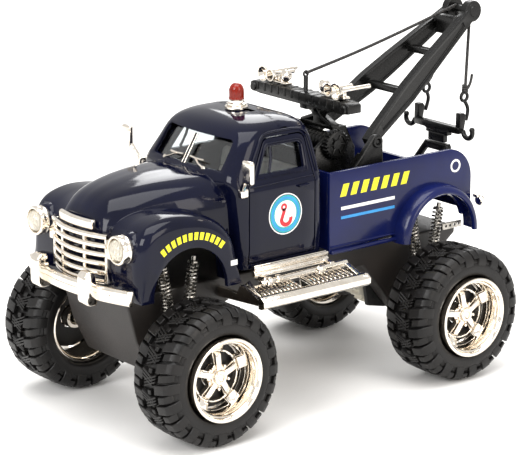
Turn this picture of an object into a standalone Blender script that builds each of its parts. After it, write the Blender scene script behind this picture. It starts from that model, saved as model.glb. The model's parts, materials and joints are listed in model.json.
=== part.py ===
"""Toy tow truck with big wheels: separate pieces, placed on their joints.

Lengths are in millimetres, measured from a datum on the ground halfway between the axles.
+X is the truck's left side, -Y its nose, +Z up.  The empty "datum" shifts everything so that
the world origin is the middle of the bounding box's base.
"""
import math

import bmesh
import bpy
from mathutils import Matrix, Vector

MM = 0.001

# Driving dimensions.
WHEELBASE = 87.4
AXLE_Y = WHEELBASE / 2
TYRE_R = 19.1
WHEEL_X = 30.6            # middle of each tyre, from the centre plane
TYRE_HALF = 7.5
RIM_R = 11.4
RIM_FACE = 9.5            # rim lip, outwards from the tyre's middle
AXLE_R = 1.5
GAP = 0.3                 # clearance between pieces that touch
FRONT_Y = -69.5           # overriders of the front bumper
REAR_Y = 76.9             # end of the boom's tip
DATUM_Y = -(FRONT_Y + REAR_Y) / 2

CAB_HALF = 21.6
CAB_WALL = 1.3
FENDER_X = 25.4           # outer face of the fenders
FENDER_IN = 11.0
ARCH_R = 12.0
ARCH_Z = 39.3
BED_HALF = 20.3
BED_WALL = 1.4
BED_FRONT = 6.9
BED_REAR = 59.9
BED_LOW = 40.0
BED_TOP = 62.6
BED_FLOOR = 50.0
BED_CORNER = 9.0
REAR_LIP_R = 14.6

DOOR_FRONT = -22.3
DOOR_REAR = 0.6
DOOR_LOW = 42.2
DOOR_HINGE = (21.0, -21.5)   # vertical hinge axis: x, y
BOOM_FOOT = (28.7, 67.3)     # boom hinge: y, z
BOOM_TIP = (73.7, 97.5)
BOOM_FOOT_X = 11.5
BOOM_TIP_X = 3.9
WINCH = (18.5, 66.9)
GEAR_TEETH = 24
GEAR_TIP_R = 4.3
PINION_TEETH = 12
BARREL_TEETH = 19
GEAR_MODULE = 0.6
BARREL_AXIS = (35.2, 23.1)   # y, z of the spring barrel
SHOCK_R = 1.45

FINISHES = {
    # name: colour, roughness, metallic, alpha
    "cab_paint": ((0.012, 0.014, 0.045), 0.18, 0.0, 1.0),
    "bed_plastic": ((0.012, 0.018, 0.085), 0.3, 0.0, 1.0),
    "chrome": ((0.82, 0.80, 0.77), 0.15, 1.0, 1.0),
    "steel": ((0.55, 0.54, 0.52), 0.3, 1.0, 1.0),
    "chassis_plastic": ((0.03, 0.025, 0.022), 0.5, 0.0, 1.0),
    "crane_plastic": ((0.012, 0.011, 0.010), 0.45, 0.0, 1.0),
    "trim_black": ((0.015, 0.014, 0.013), 0.5, 0.0, 1.0),
    "seat_grey": ((0.32, 0.30, 0.28), 0.6, 0.0, 1.0),
    "clear_plastic": ((0.9, 0.92, 0.95), 0.05, 0.0, 0.25),
    "lens_cream": ((0.75, 0.72, 0.62), 0.1, 0.0, 1.0),
    "lens_red": ((0.6, 0.03, 0.01), 0.1, 0.0, 1.0),
    "tyre_rubber": ((0.022, 0.020, 0.020), 0.8, 0.0, 1.0),
    "rope_black": ((0.01, 0.01, 0.01), 0.9, 0.0, 1.0),
    "gear_white": ((0.7, 0.68, 0.62), 0.5, 0.0, 1.0),
}

parts = None
cutters = None
pivots = {}
materials = {}


# ---------------------------------------------------------------- helpers

def start():
    """Empty the file and make the two collections."""
    global parts, cutters
    for old in list(bpy.data.objects):
        bpy.data.objects.remove(old, do_unlink=True)
    parts = bpy.data.collections.new("toy_tow_truck")
    cutters = bpy.data.collections.new("cutters")
    for group in (parts, cutters):
        bpy.context.scene.collection.children.link(group)


def make_finishes():
    """Make one material for each finish in the list."""
    for name, (colour, roughness, metallic, alpha) in FINISHES.items():
        mat = bpy.data.materials.new(name)
        mat.use_nodes = True
        shader = mat.node_tree.nodes["Principled BSDF"]
        shader.inputs["Base Color"].default_value = (*colour, 1.0)
        shader.inputs["Roughness"].default_value = roughness
        shader.inputs["Metallic"].default_value = metallic
        shader.inputs["Alpha"].default_value = alpha
        materials[name] = mat


def pivot(name, x, y, z):
    """Make an empty on a joint's axis, in datum millimetres."""
    empty = bpy.data.objects.new(name, None)
    parts.objects.link(empty)
    if name != "datum":
        empty.parent = pivots["datum"]
    empty.location = Vector((x, y, z)) * MM
    pivots[name] = empty
    return Vector((x, y, z))


def new_object(name, data):
    """Link data to the cutters' collection as a working object."""
    obj = bpy.data.objects.new(name, data)
    cutters.objects.link(obj)
    return obj


def as_mesh(obj):
    """Turn a curve or modified object into a plain, welded mesh object."""
    bpy.context.view_layer.update()
    graph = bpy.context.evaluated_depsgraph_get()
    mesh = bpy.data.meshes.new_from_object(obj.evaluated_get(graph))
    solid = new_object(obj.name + "_solid", mesh)
    solid.matrix_world = obj.matrix_world.copy()
    bpy.data.objects.remove(obj, do_unlink=True)
    bm = bmesh.new()
    bm.from_mesh(mesh)
    bmesh.ops.remove_doubles(bm, verts=bm.verts, dist=0.000001)
    bmesh.ops.recalc_face_normals(bm, faces=bm.faces)
    bm.to_mesh(mesh)
    bm.free()
    return solid


def combine(target, other, operation="UNION"):
    """Boolean another object into the target and use it up."""
    step = target.modifiers.new("combine", "BOOLEAN")
    step.operation = operation
    step.object = other
    step.solver = "EXACT"
    solid = as_mesh(target)
    bpy.data.objects.remove(other, do_unlink=True)
    return solid


def union(pieces):
    """Join a list of overlapping solids into one."""
    solid = pieces[0]
    for piece in pieces[1:]:
        solid = combine(solid, piece)
    return solid


def cut(solid, pieces):
    """Take a list of solids away from one."""
    for piece in pieces:
        solid = combine(solid, piece, "DIFFERENCE")
    return solid


def place(name, solid, material, home="datum", smooth=35.0):
    """Name a finished solid, give it its material and parent it to its pivot."""
    solid.name = name
    solid.data.name = name
    cutters.objects.unlink(solid)
    parts.objects.link(solid)
    if solid.type == "MESH":
        solid.data.shade_smooth()
        solid.data.set_sharp_from_angle(angle=math.radians(smooth))
    solid.data.materials.clear()
    solid.data.materials.append(material)
    solid.parent = pivots[home]
    if home != "datum":
        solid.location -= pivots[home].location
    return solid


def box(x0, x1, y0, y1, z0, z1):
    """A box between two corners."""
    bm = bmesh.new()
    bmesh.ops.create_cube(bm, size=1.0)
    size = Vector((x1 - x0, y1 - y0, z1 - z0)) * MM
    bmesh.ops.scale(bm, vec=size, verts=bm.verts)
    mesh = bpy.data.meshes.new("box")
    bm.to_mesh(mesh)
    bm.free()
    obj = new_object("box", mesh)
    obj.location = Vector(((x0 + x1) / 2, (y0 + y1) / 2, (z0 + z1) / 2)) * MM
    return obj


def soften(solid, width, limit=40.0, segments=2):
    """Round the sharp edges of a solid."""
    step = solid.modifiers.new("round", "BEVEL")
    step.width = width * MM
    step.segments = segments
    step.limit_method = "ANGLE"
    step.angle_limit = math.radians(limit)
    return as_mesh(solid)


def rod(x, y, z, radius, length, axis="X", sides=16):
    """A cylinder centred on a point, along one axis."""
    bm = bmesh.new()
    bmesh.ops.create_cone(bm, cap_ends=True, segments=sides, radius1=radius * MM,
                          radius2=radius * MM, depth=length * MM)
    mesh = bpy.data.meshes.new("rod")
    bm.to_mesh(mesh)
    bm.free()
    obj = new_object("rod", mesh)
    turn = {"X": Matrix.Rotation(math.pi / 2, 4, "Y"), "Y": Matrix.Rotation(math.pi / 2, 4, "X"),
            "Z": Matrix.Identity(4)}[axis]
    obj.matrix_world = Matrix.Translation(Vector((x, y, z)) * MM) @ turn
    return obj


def ball(x, y, z, radius, sides=12):
    """A sphere."""
    bm = bmesh.new()
    bmesh.ops.create_uvsphere(bm, u_segments=sides, v_segments=sides // 2, radius=radius * MM)
    mesh = bpy.data.meshes.new("ball")
    bm.to_mesh(mesh)
    bm.free()
    obj = new_object("ball", mesh)
    obj.location = Vector((x, y, z)) * MM
    return obj


def outline(points, thickness, holes=()):
    """A flat outline in its own XY plane, as thick as asked, centred on the plane."""
    data = bpy.data.curves.new("outline", "CURVE")
    data.dimensions = "2D"
    data.fill_mode = "BOTH"
    data.extrude = thickness * MM / 2
    for ring in (points, *holes):
        spline = data.splines.new("POLY")
        spline.points.add(len(ring) - 1)
        for point, (u, v) in zip(spline.points, ring):
            point.co = (u * MM, v * MM, 0.0, 1.0)
        spline.use_cyclic_u = True
    return new_object("outline", data)


def plate_x(points, x0, x1, holes=()):
    """A side-view outline (y, z) made solid from x0 to x1."""
    obj = outline(points, abs(x1 - x0), holes)
    frame = Matrix(((0, 0, 1), (1, 0, 0), (0, 1, 0))).to_4x4()
    obj.matrix_world = Matrix.Translation(Vector(((x0 + x1) / 2, 0, 0)) * MM) @ frame
    return as_mesh(obj)


def plate_y(points, y0, y1, holes=()):
    """A front-view outline (x, z) made solid from y0 to y1."""
    obj = outline(points, abs(y1 - y0), holes)
    frame = Matrix(((1, 0, 0), (0, 0, -1), (0, 1, 0))).to_4x4()
    obj.matrix_world = Matrix.Translation(Vector((0, (y0 + y1) / 2, 0)) * MM) @ frame
    return as_mesh(obj)


def plate_z(points, z0, z1, holes=()):
    """A top-view outline (x, y) made solid from z0 to z1."""
    obj = outline(points, abs(z1 - z0), holes)
    obj.location = Vector((0, 0, (z0 + z1) / 2)) * MM
    return as_mesh(obj)


def arc(cx, cy, radius, start_deg, end_deg, steps):
    """Points along an arc, both ends included."""
    points = []
    for i in range(steps + 1):
        angle = math.radians(start_deg + (end_deg - start_deg) * i / steps)
        points.append((cx + radius * math.cos(angle), cy + radius * math.sin(angle)))
    return points


def turned(profile, steps=24):
    """Spin a profile of (radius, height) about Z; it runs down the outer side first."""
    mesh = bpy.data.meshes.new("profile")
    bm = bmesh.new()
    verts = [bm.verts.new((r * MM, 0.0, h * MM)) for r, h in profile]
    for a, b in zip(verts, verts[1:]):
        bm.edges.new((a, b))
    if profile[0][0] > 0.0 and profile[-1][0] > 0.0:
        bm.edges.new((verts[-1], verts[0]))
    bm.to_mesh(mesh)
    bm.free()
    obj = new_object("turned", mesh)
    spin = obj.modifiers.new("spin", "SCREW")
    spin.steps = steps
    spin.render_steps = steps
    spin.use_merge_vertices = True
    spin.merge_threshold = 0.00001
    return obj


def aim(obj, x, y, z, towards=(0, 0, 1)):
    """Stand a turned shape at a point with its +Z along a direction."""
    turn = Vector(towards).to_track_quat("Z", "Y").to_matrix().to_4x4()
    obj.matrix_world = Matrix.Translation(Vector((x, y, z)) * MM) @ turn
    return obj


def wire(points, radius, resolution=2, cyclic=False):
    """A round wire or rope through the points."""
    data = bpy.data.curves.new("wire", "CURVE")
    data.dimensions = "3D"
    data.bevel_depth = radius * MM
    data.bevel_resolution = resolution
    data.use_fill_caps = not cyclic
    spline = data.splines.new("POLY")
    spline.points.add(len(points) - 1)
    for point, (x, y, z) in zip(spline.points, points):
        point.co = (x * MM, y * MM, z * MM, 1.0)
    spline.use_cyclic_u = cyclic
    return as_mesh(new_object("wire", data))


def loft(rings):
    """A closed skin through rings that all have the same number of points."""
    bm = bmesh.new()
    loops = [[bm.verts.new(Vector(p) * MM) for p in ring] for ring in rings]
    count = len(rings[0])
    for low, high in zip(loops, loops[1:]):
        for i in range(count):
            j = (i + 1) % count
            bm.faces.new((low[i], low[j], high[j], high[i]))
    bm.faces.new(loops[0])
    bm.faces.new(loops[-1])
    bmesh.ops.recalc_face_normals(bm, faces=bm.faces)
    mesh = bpy.data.meshes.new("loft")
    bm.to_mesh(mesh)
    bm.free()
    return new_object("loft", mesh)


def rounded(half, low, high, r_low, r_high, steps=3, extra=0):
    """A rounded rectangle, symmetric about u = 0, with extra points along its low side."""
    ring = arc(half - r_low, low + r_low, r_low, -90, 0, steps)
    ring += arc(half - r_high, high - r_high, r_high, 0, 90, steps)
    ring += arc(-half + r_high, high - r_high, r_high, 90, 180, steps)
    ring += arc(-half + r_low, low + r_low, r_low, 180, 270, steps)
    span = half - r_low
    ring += [(-span + 2.0 * span * i / (extra + 1), low) for i in range(1, extra + 1)]
    return ring


def gear_ring(teeth, tip, root, start_deg=0.0):
    """Outline of a gear whose first tooth is centred on start_deg."""
    ring = []
    pitch = 360.0 / teeth
    for i in range(teeth):
        middle = start_deg + i * pitch
        for offset, radius in ((-0.30, root), (-0.13, tip), (0.13, tip), (0.30, root)):
            angle = math.radians(middle + offset * pitch)
            ring.append((radius * math.cos(angle), radius * math.sin(angle)))
    return ring


def shifted(points, y, z):
    """Move an outline."""
    return [(u + y, v + z) for u, v in points]


# ---------------------------------------------------------------- cab and nose

CAB_RINGS = (
    # z, half width, front y, rear y, front corner, rear corner
    (40.8, 21.0, -26.5, 4.4, 2.4, 3.6),
    (50.0, CAB_HALF, -27.2, 4.9, 2.4, 4.2),
    (62.5, CAB_HALF, -28.2, 4.9, 3.0, 4.6),
    (65.6, 20.3, -29.0, 4.7, 4.0, 4.8),
    (75.8, 17.6, -22.4, 3.4, 3.2, 4.8),
    (78.0, 15.6, -19.8, 1.6, 4.6, 4.8),
    (79.1, 11.4, -15.5, -2.0, 5.0, 4.6),
    (79.5, 6.0, -11.5, -6.0, 2.7, 2.7),
)
WINDSCREEN_BOW = 2.4


def cab_body(inset=0.0, floor=None):
    """The cab's skin; an inset gives the hollow inside it, down to the given floor."""
    rings = []
    for i, (z, half, front, rear, r_front, r_rear) in enumerate(CAB_RINGS):
        height = z if floor is None or i else floor
        if inset and i >= len(CAB_RINGS) - 3:
            height = z - inset
        ring = rounded(half - inset, front + inset, rear - inset,
                       max(r_front - inset, 0.8), max(r_rear - inset, 0.8), extra=3)
        bowed = []
        for x, y in ring:
            bow = WINDSCREEN_BOW * (x / half) ** 2 if y < (front + rear) / 2 else 0.0
            bowed.append((x, y + bow, height))
        rings.append(bowed)
    return loft(rings)


HOOD_RINGS = (
    # y, half width, top z, shoulder radius
    (-24.0, 17.6, 66.0, 7.5),
    (-34.0, 17.0, 66.0, 7.5),
    (-44.0, 15.2, 65.6, 7.0),
    (-52.0, 13.6, 64.8, 6.5),
    (-57.0, 12.4, 63.0, 6.0),
    (-60.2, 11.2, 60.0, 5.5),
    (-61.4, 10.4, 57.4, 5.0),
)


def hood_body(inset=0.0, low=50.0):
    """The bonnet from the scuttle to the nose."""
    rings = []
    for i, (y, half, top, shoulder) in enumerate(HOOD_RINGS):
        along = y + inset if i == len(HOOD_RINGS) - 1 else y
        ring = rounded(half - inset, low, top - inset, 0.8, shoulder - inset)
        rings.append([(x, along, z) for x, z in ring])
    return loft(rings)


def fender_outline(inset=0.0):
    """Side view (y, z) of a front fender without its wheel arch."""
    d = inset
    points = [(-60.2 + d, 41.5), (-60.3 + d, 50.0), (-58.8 + d, 55.6 - d * 0.5)]
    points += [(-55.0, 59.0 - d), (-49.0, 60.2 - d), (-42.0, 59.6 - d), (-35.5, 57.0 - d)]
    points += [(-30.6 - d * 0.5, 53.0 - d), (-27.6 - d, 47.5), (-26.2 - d, 39.0), (-33.0, 39.0)]
    return points


def front_fender(side):
    """One front fender: rounded outside, hollow and open over its wheel."""
    near = side * FENDER_IN
    skin = plate_x(fender_outline(), min(near, side * FENDER_X), max(near, side * FENDER_X))
    return soften(skin, 4.5, limit=50.0, segments=3)


def fender_void(side):
    """What is taken out of a front fender: the hollow and the wheel arch."""
    inner = side * (FENDER_IN + 1.4)
    outer = side * (FENDER_X - 1.3)
    hollow = plate_x(fender_outline(2.2), min(inner, outer), max(inner, outer))
    arch = arch_cutter(-44.4, ARCH_R, side * 13.0, side * 27.0)
    under = box(min(inner, outer), max(inner, outer), -58.0, -30.0, 36.0, 44.0)
    return [hollow, arch, under]


def door_outline(inset=0.0):
    """Side view of a door, with its window frame."""
    d = inset
    return [(DOOR_FRONT + d, DOOR_LOW + d), (DOOR_REAR - d, DOOR_LOW + d),
            (DOOR_REAR + 0.2 - d, 63.5), (-0.2 - d, 73.6 - d), (-1.8 - d, 75.2 - d),
            (-13.4 + d, 75.2 - d), (-15.6 + d, 73.8 - d), (-20.2 + d, 65.4),
            (DOOR_FRONT + d, 63.4)]


def door_window(inset=0.0):
    """Side view of a door's window."""
    d = inset
    return [(-17.9 + d, 66.0 + d), (-2.1 - d, 66.0 + d), (-2.1 - d, 71.6 - d),
            (-3.4 - d, 73.0 - d), (-12.8 + d, 73.0 - d), (-14.6 + d, 71.8 - d)]


def cab_shell():
    """Cab, bonnet and front fenders, cast in one piece and hollow underneath."""
    shell = union([cab_body(), hood_body(), front_fender(1), front_fender(-1)])
    pods = [rod(s * 18.9, -57.2, 53.0, 4.3, 6.0, "Y", 16) for s in (1, -1)]
    shell = union([shell, *pods])
    nose = box(-11.2, 11.2, -60.1, -52.0, 41.6, 57.0)
    shell = union([shell, nose])
    shell = cut(shell, [cab_body(CAB_WALL, floor=36.0), hood_body(1.3, low=36.0)])
    bay = box(-9.8, 9.8, -58.8, -50.0, 36.0, 56.0)
    shell = cut(shell, [bay, *fender_void(1), *fender_void(-1)])
    windscreen = plate_y([(-15.0, 67.4), (15.0, 67.4), (14.4, 75.0), (-14.4, 75.0)], -32.0, -15.0)
    rear_window = plate_y([(-9.6, 68.4), (9.6, 68.4), (9.0, 75.0), (-9.0, 75.0)], -2.0, 8.0)
    doorway = plate_x(door_outline(), -30.0, 30.0)
    shell = cut(shell, [windscreen, rear_window, doorway])
    return place("cab_shell", shell, materials["cab_paint"])


def windscreen():
    """Clear pane inside the windscreen opening, leaning back with it."""
    pane = cut(cab_body(CAB_WALL + GAP), [cab_body(CAB_WALL + 1.1, floor=36.0)])
    pane = combine(pane, box(-16.0, 16.0, -32.0, -14.0, 66.2, 76.2), "INTERSECT")
    return place("windscreen", pane, materials["clear_plastic"])


def rear_window():
    """Clear pane inside the cab's rear window."""
    pane = loft([[(-10.6, 2.5, 67.4), (10.6, 2.5, 67.4), (10.6, 3.1, 67.4), (-10.6, 3.1, 67.4)],
                 [(-10.0, 1.35, 75.6), (10.0, 1.35, 75.6), (10.0, 1.95, 75.6), (-10.0, 1.95, 75.6)]])
    return place("rear_window", pane, materials["clear_plastic"])


def cabin():
    """Black floor pan with the dashboard, bench seat and steering wheel."""
    pan = box(-18.6, 18.6, -23.2, 3.0, 48.2, 49.7)
    kick = box(-17.0, 17.0, -23.2, -21.9, 49.0, 58.0)
    seat = plate_x([(-9.5, 50.0), (-0.5, 50.0), (1.2, 64.5), (-1.4, 64.8), (-3.4, 56.5), (-9.5, 56.5)],
                   -17.0, 17.0)
    place("bench_seat", soften(seat, 0.7), materials["seat_grey"])
    dash = plate_x([(-24.0, 57.0), (-19.5, 57.0), (-19.0, 62.0), (-20.6, 64.4), (-24.0, 64.4)], -17.6, 17.6)
    place("interior_pan", union([pan, kick, soften(dash, 0.7)]), materials["trim_black"])
    rim = wire([(3.4 * math.cos(a), 3.4 * math.sin(a), 0.0)
                for a in [math.tau * i / 20 for i in range(20)]], 0.4, cyclic=True)
    spokes = box(-3.3, 3.3, -0.45, 0.45, -0.3, 0.3)
    hub = rod(0, 0, -1.4, 0.6, 3.4, "Z", 10)
    wheel = union([rim, spokes, hub])
    lean = Vector((0.0, 0.80, 0.60))
    aim(wheel, 8.5, -15.6, 64.2, lean)
    place("steering_wheel", wheel, materials["trim_black"])


def bowed_strip(half, y_mid, bow, depth, steps=6):
    """Top view of a strip that bows forward by the given amount at its middle."""
    front = []
    for i in range(steps + 1):
        x = -half + 2 * half * i / steps
        front.append((x, y_mid + bow * (x / half) ** 2))
    back = [(x, y + depth) for x, y in reversed(front)]
    return front + back


GRILLE_BOW = 2.9


def grille():
    """Six bowed bars on two side brackets that step out towards the headlights."""
    bars = []
    for i in range(6):
        z = 42.6 + 2.45 * i
        half = 12.6 - 0.25 * (5 - i)
        bars.append(plate_z(bowed_strip(half, -65.2, GRILLE_BOW, 1.5), z - 0.7, z + 0.7))
    posts = []
    for side in (-1, 1):
        for x, depth in ((11.9, 1.9), (5.0, 2.6)):
            near = -65.2 + GRILLE_BOW * (x / 12.6) ** 2
            posts.append(box(side * x - 0.5, side * x + 0.5, near + 0.5, near + depth, 42.3, 55.2))
        step = [(side * 11.0, 49.0), (side * 14.6, 49.0), (side * 14.6, 51.5),
                (side * 12.6, 53.6), (side * 12.6, 55.3), (side * 11.2, 55.3)]
        posts.append(plate_y(step if side > 0 else list(reversed(step)), -61.8, -60.7))
    return place("grille", union(bars + posts), materials["chrome"])


def nose_bar():
    """Plain bright bar above the grille."""
    bar = plate_z(bowed_strip(7.5, -64.2, 0.9, 1.5), 55.9, 58.6)
    return place("nose_bar", soften(bar, 0.5), materials["chrome"])


def headlights():
    """Bright bowls with clear lenses at the front of the fenders."""
    for side, name in ((1, "left"), (-1, "right")):
        bowl = turned([(0.0, 0.0), (3.9, 0.0), (4.0, 2.4), (3.8, 3.3), (3.2, 3.3), (3.2, 1.9), (0.0, 1.9)])
        bowl = as_mesh(bowl)
        aim(bowl, side * 18.9, -60.55, 53.0, (0, -1, 0))
        place("headlight_" + name, bowl, materials["chrome"])
        lens = turned([(0.0, 2.2), (1.6, 2.0), (2.9, 1.2), (2.9, 0.0), (0.0, 0.0)], 20)
        lens = as_mesh(lens)
        aim(lens, side * 18.9, -62.8, 53.0, (0, -1, 0))
        place("headlight_lens_" + name, lens, materials["lens_cream"])


def front_bumper():
    """Curved bar with two overriders, on two stays."""
    section = [(0.0, 39.1), (0.0, 42.3), (0.5, 42.8), (1.2, 42.8), (1.7, 42.3), (1.7, 39.1), (1.2, 38.6),
               (0.5, 38.6)]
    half, steps = 23.2, 10
    rings = []
    for i in range(steps + 1):
        x = half * (2.0 * i / steps - 1.0)
        front = -67.6 + 4.6 * (x / half) ** 2
        rings.append([(x, front + depth, z) for depth, z in section])
    bar = loft(rings)
    pieces = [bar]
    for side in (-1, 1):
        guard = plate_x([(-68.0, 37.2), (-69.5, 38.4), (-69.5, 45.0), (-68.2, 46.6), (-66.0, 46.6),
                         (-65.4, 42.0), (-65.4, 37.2)], side * 11.0 - 1.9, side * 11.0 + 1.9)
        pieces.append(guard)
        pieces.append(box(side * 7.5 - 1.3, side * 7.5 + 1.3, -66.3, -61.5, 38.9, 40.7))
    return place("front_bumper", union(pieces), materials["chrome"])


def beacon():
    """Rotating-lamp housing on the roof: bright base and red dome."""
    base = turned([(0.0, 2.2), (2.0, 2.2), (2.3, 1.2), (3.2, 0.7), (3.2, 0.0), (0.0, 0.0)])
    aim(base, 0.0, -9.5, 79.8)
    place("beacon_base", as_mesh(base), materials["chrome"])
    dome = turned([(0.0, 4.4), (0.9, 4.3), (1.7, 3.7), (2.1, 2.6), (2.2, 0.0), (0.0, 0.0)])
    aim(dome, 0.0, -9.5, 82.3)
    place("beacon_lens", as_mesh(dome), materials["lens_red"])


def mirrors():
    """Door mirrors on bright arms, standing off the scuttle."""
    for side, name in ((1, "left"), (-1, "right")):
        arm = wire([(side * 22.2, -25.2, 63.0), (side * 23.6, -26.4, 64.0), (side * 26.4, -26.9, 67.2)], 0.6)
        foot = box(side * 22.8 - 0.9, side * 22.8 + 0.9, -26.4, -23.9, 61.6, 64.0)
        head = box(side * 27.1 - 2.0, side * 27.1 + 2.0, -27.5, -26.1, 66.4, 72.6)
        head = soften(head, 0.5)
        place("mirror_" + name, union([foot, arm, head]), materials["chrome"])


def doors():
    """Two doors cut from the cab's own skin, each with its pane and handle."""
    for side, name in ((1, "left"), (-1, "right")):
        home = "door_pivot_" + name
        skin = cut(cab_body(), [cab_body(CAB_WALL, floor=36.0)])
        slab = plate_x(door_outline(GAP), min(side * 10, side * 30), max(side * 10, side * 30))
        door = combine(skin, slab, "INTERSECT")
        window = plate_x(door_window(), -30.0, 30.0)
        door = cut(door, [window])
        lining = box(side * 19.6 - 0.7, side * 19.6 + 0.7, -20.6, -1.6, 44.0, 63.5)
        handle = box(side * 22.0 - 0.6, side * 22.0 + 0.6, -5.4, -1.9, 61.0, 61.9)
        door = union([door, lining, handle])
        place("door_" + name, door, materials["cab_paint"], home)
        low, high = 65.4, 73.4
        x_low, x_high = 18.5, 16.4
        pane = loft([[(side * x_low, -18.4, low), (side * x_low, -1.5, low),
                      (side * (x_low - 0.6), -1.5, low), (side * (x_low - 0.6), -18.4, low)],
                     [(side * x_high, -13.6, high), (side * x_high, -2.4, high),
                      (side * (x_high - 0.6), -2.4, high), (side * (x_high - 0.6), -13.6, high)]])
        place("door_glass_" + name, pane, materials["clear_plastic"], home)


# ---------------------------------------------------------------- bed

def bed_side():
    """Side view of a bed wall with its big rounded rear corner."""
    corner = arc(BED_REAR - BED_CORNER, BED_TOP - BED_CORNER, BED_CORNER, 0, 90, 6)
    return [(BED_FRONT, BED_LOW), (BED_REAR, BED_LOW + 3.0), *corner, (BED_FRONT, BED_TOP)]


def arch_cutter(y, radius, x0, x1):
    """A wheel arch's opening: a half round on top of a deep slot."""
    ring = arc(y, ARCH_Z + 0.35, radius, 0, 180, 20) + [(y - radius, 33.0), (y + radius, 33.0)]
    return plate_x(ring, min(x0, x1), max(x0, x1))


def bed():
    """Load bed with its rear fenders: two walls, ends, floor and rounded arches."""
    pieces = []
    for side in (-1, 1):
        inner = side * (BED_HALF - BED_WALL)
        pieces.append(plate_x(bed_side(), min(inner, side * BED_HALF), max(inner, side * BED_HALF)))
        for radius, reach in ((REAR_LIP_R, 23.6), (REAR_LIP_R - 1.3, FENDER_X - 0.5)):
            lip = arc(AXLE_Y + 1.4, ARCH_Z, radius, 0, 180, 18)
            pieces.append(plate_x(lip, min(side * 19.5, side * reach), max(side * 19.5, side * reach)))
    wall = BED_HALF - 0.4
    pieces.append(box(-wall, wall, BED_FRONT + 0.15, BED_FRONT + BED_WALL, BED_LOW + 0.6, BED_TOP - 0.2))
    pieces.append(box(-wall, wall, BED_REAR - BED_WALL - 0.2, BED_REAR - 0.2, 44.0, 54.0))
    pieces.append(box(-wall, wall, BED_FRONT + 0.4, BED_REAR - 0.8, BED_FLOOR - 1.4, BED_FLOOR))
    tub = union(pieces)
    holes = []
    for side in (-1, 1):
        holes.append(arch_cutter(AXLE_Y + 1.4, ARCH_R - 0.2, side * 18.2, side * 26.5))
        holes.append(arch_cutter(AXLE_Y + 1.4, REAR_LIP_R - 1.7, side * 20.8, side * 23.1))
    tub = cut(tub, holes)
    return place("bed", tub, materials["bed_plastic"])


def tail_lamps():
    """Small lamps on stalks behind the bed walls."""
    for side, name in ((1, "left"), (-1, "right")):
        lamp = rod(side * 22.2, 61.6, 46.6, 1.7, 1.5, "Y", 16)
        stalk = box(side * 21.6 - 1.0, side * 21.6 + 1.0, 60.2, 61.6, 47.4, 48.4)
        place("tail_lamp_" + name, union([lamp, stalk]), materials["chrome"])


# ---------------------------------------------------------------- chassis

def chassis():
    """Black frame: rails, sloping front guard and bored axle blocks."""
    profile = [(-58.4, 38.2), (-57.0, 33.4), (-54.9, 25.5), (-50.0, 15.6), (-38.6, 14.4),
               (-35.0, 20.0), (-30.0, 29.0), (-22.0, 32.0), (24.0, 32.0), (33.5, 20.0), (38.5, 14.4),
               (48.9, 14.4), (51.5, 22.0), (53.0, 31.4), (59.0, 36.0), (59.0, 38.2)]
    pieces = [plate_x(profile, -15.0, 15.0)]
    for end in (-1, 1):
        for side in (-1, 1):
            pieces.append(rod(side * 17.5, end * AXLE_Y, TYRE_R, 4.6, 7.0, sides=20))
    body = union(pieces)
    bores = [rod(0.0, end * AXLE_Y, TYRE_R, AXLE_R + 0.35, 60.0, sides=20) for end in (-1, 1)]
    bores.append(box(-10.3, 10.3, 27.0, 55.0, 10.0, 36.5))
    return place("chassis_frame", cut(body, bores), materials["chassis_plastic"])


def shocks():
    """Coil shocks in pairs, one pair a wheel, leaning together onto a common foot."""
    for end, place_name in ((-1, "front"), (1, "rear")):
        for side, side_name in ((1, "left"), (-1, "right")):
            middle = end * AXLE_Y
            pair = [box(side * 18.6 - 1.2, side * 18.6 + 1.2, middle - 3.8, middle + 3.8, 24.0, 25.6)]
            for lean in (-1, 1):
                top = Vector((side * 18.6, middle + lean * 5.4, 47.2))
                foot = Vector((side * 18.6, middle + lean * 2.6, 24.7))
                length = (top - foot).length
                shock = as_mesh(turned([(0.0, length), (0.7, length), (0.7, length - 1.5),
                                        (SHOCK_R, length - 1.5), (SHOCK_R, 1.5), (0.7, 1.5),
                                        (0.7, 0.0), (0.0, 0.0)], 10))
                pair.append(aim(shock, *foot, top - foot))
            place("shocks_%s_%s" % (place_name, side_name), union(pair), materials["steel"])


def steps():
    """Bright running boards: ribbed sill, tube rail, two pads and a chamfered outer rail."""
    for side, name in ((1, "left"), (-1, "right")):
        sill = plate_y([(side * 22.0, 41.9), (side * 23.4, 41.9), (side * 23.4, 41.0), (side * 23.0, 40.6),
                        (side * 23.6, 40.2), (side * 23.6, 38.9), (side * 22.0, 38.9)], -21.8, 4.0)
        tube = wire([(side * 26.2, -22.0, 38.0), (side * 26.2, 8.0, 38.7)], 0.9, 3)
        rail = plate_y([(side * 33.4, 37.4), (side * 34.6, 37.4), (side * 36.0, 36.4), (side * 36.0, 34.8),
                        (side * 34.8, 34.0), (side * 33.4, 34.0)], -28.6, 8.6)
        pieces = [sill, tube, rail]
        for start, end in ((-26.6, -13.2), (-9.6, 4.8)):
            pad = box(side * 30.6 - 3.4, side * 30.6 + 3.4, start, end, 35.8, 36.8)
            pieces.append(pad)
            middle = (start + end) / 2
            pieces.append(box(side * 27.1 - 0.9, side * 27.1 + 0.9, middle - 0.7, middle + 0.7, 36.4, 38.3))
        for y in (-27.4, 7.4):
            arm = [(side * 15.3, 33.2), (side * 34.0, 34.6), (side * 34.0, 36.2), (side * 27.2, 38.7),
                   (side * 25.2, 38.7), (side * 23.6, 36.0), (side * 15.3, 36.0)]
            pieces.append(plate_y(arm, y - 0.8, y + 0.8))
        tie = box(side * 24.5 - 2.0, side * 24.5 + 2.0, -21.0, -19.6, 38.0, 39.6)
        far_tie = box(side * 24.5 - 2.0, side * 24.5 + 2.0, 2.0, 3.4, 38.4, 39.8)
        board = union([*pieces, tie, far_tie])
        place("step_" + name, board, materials["chrome"])


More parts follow.
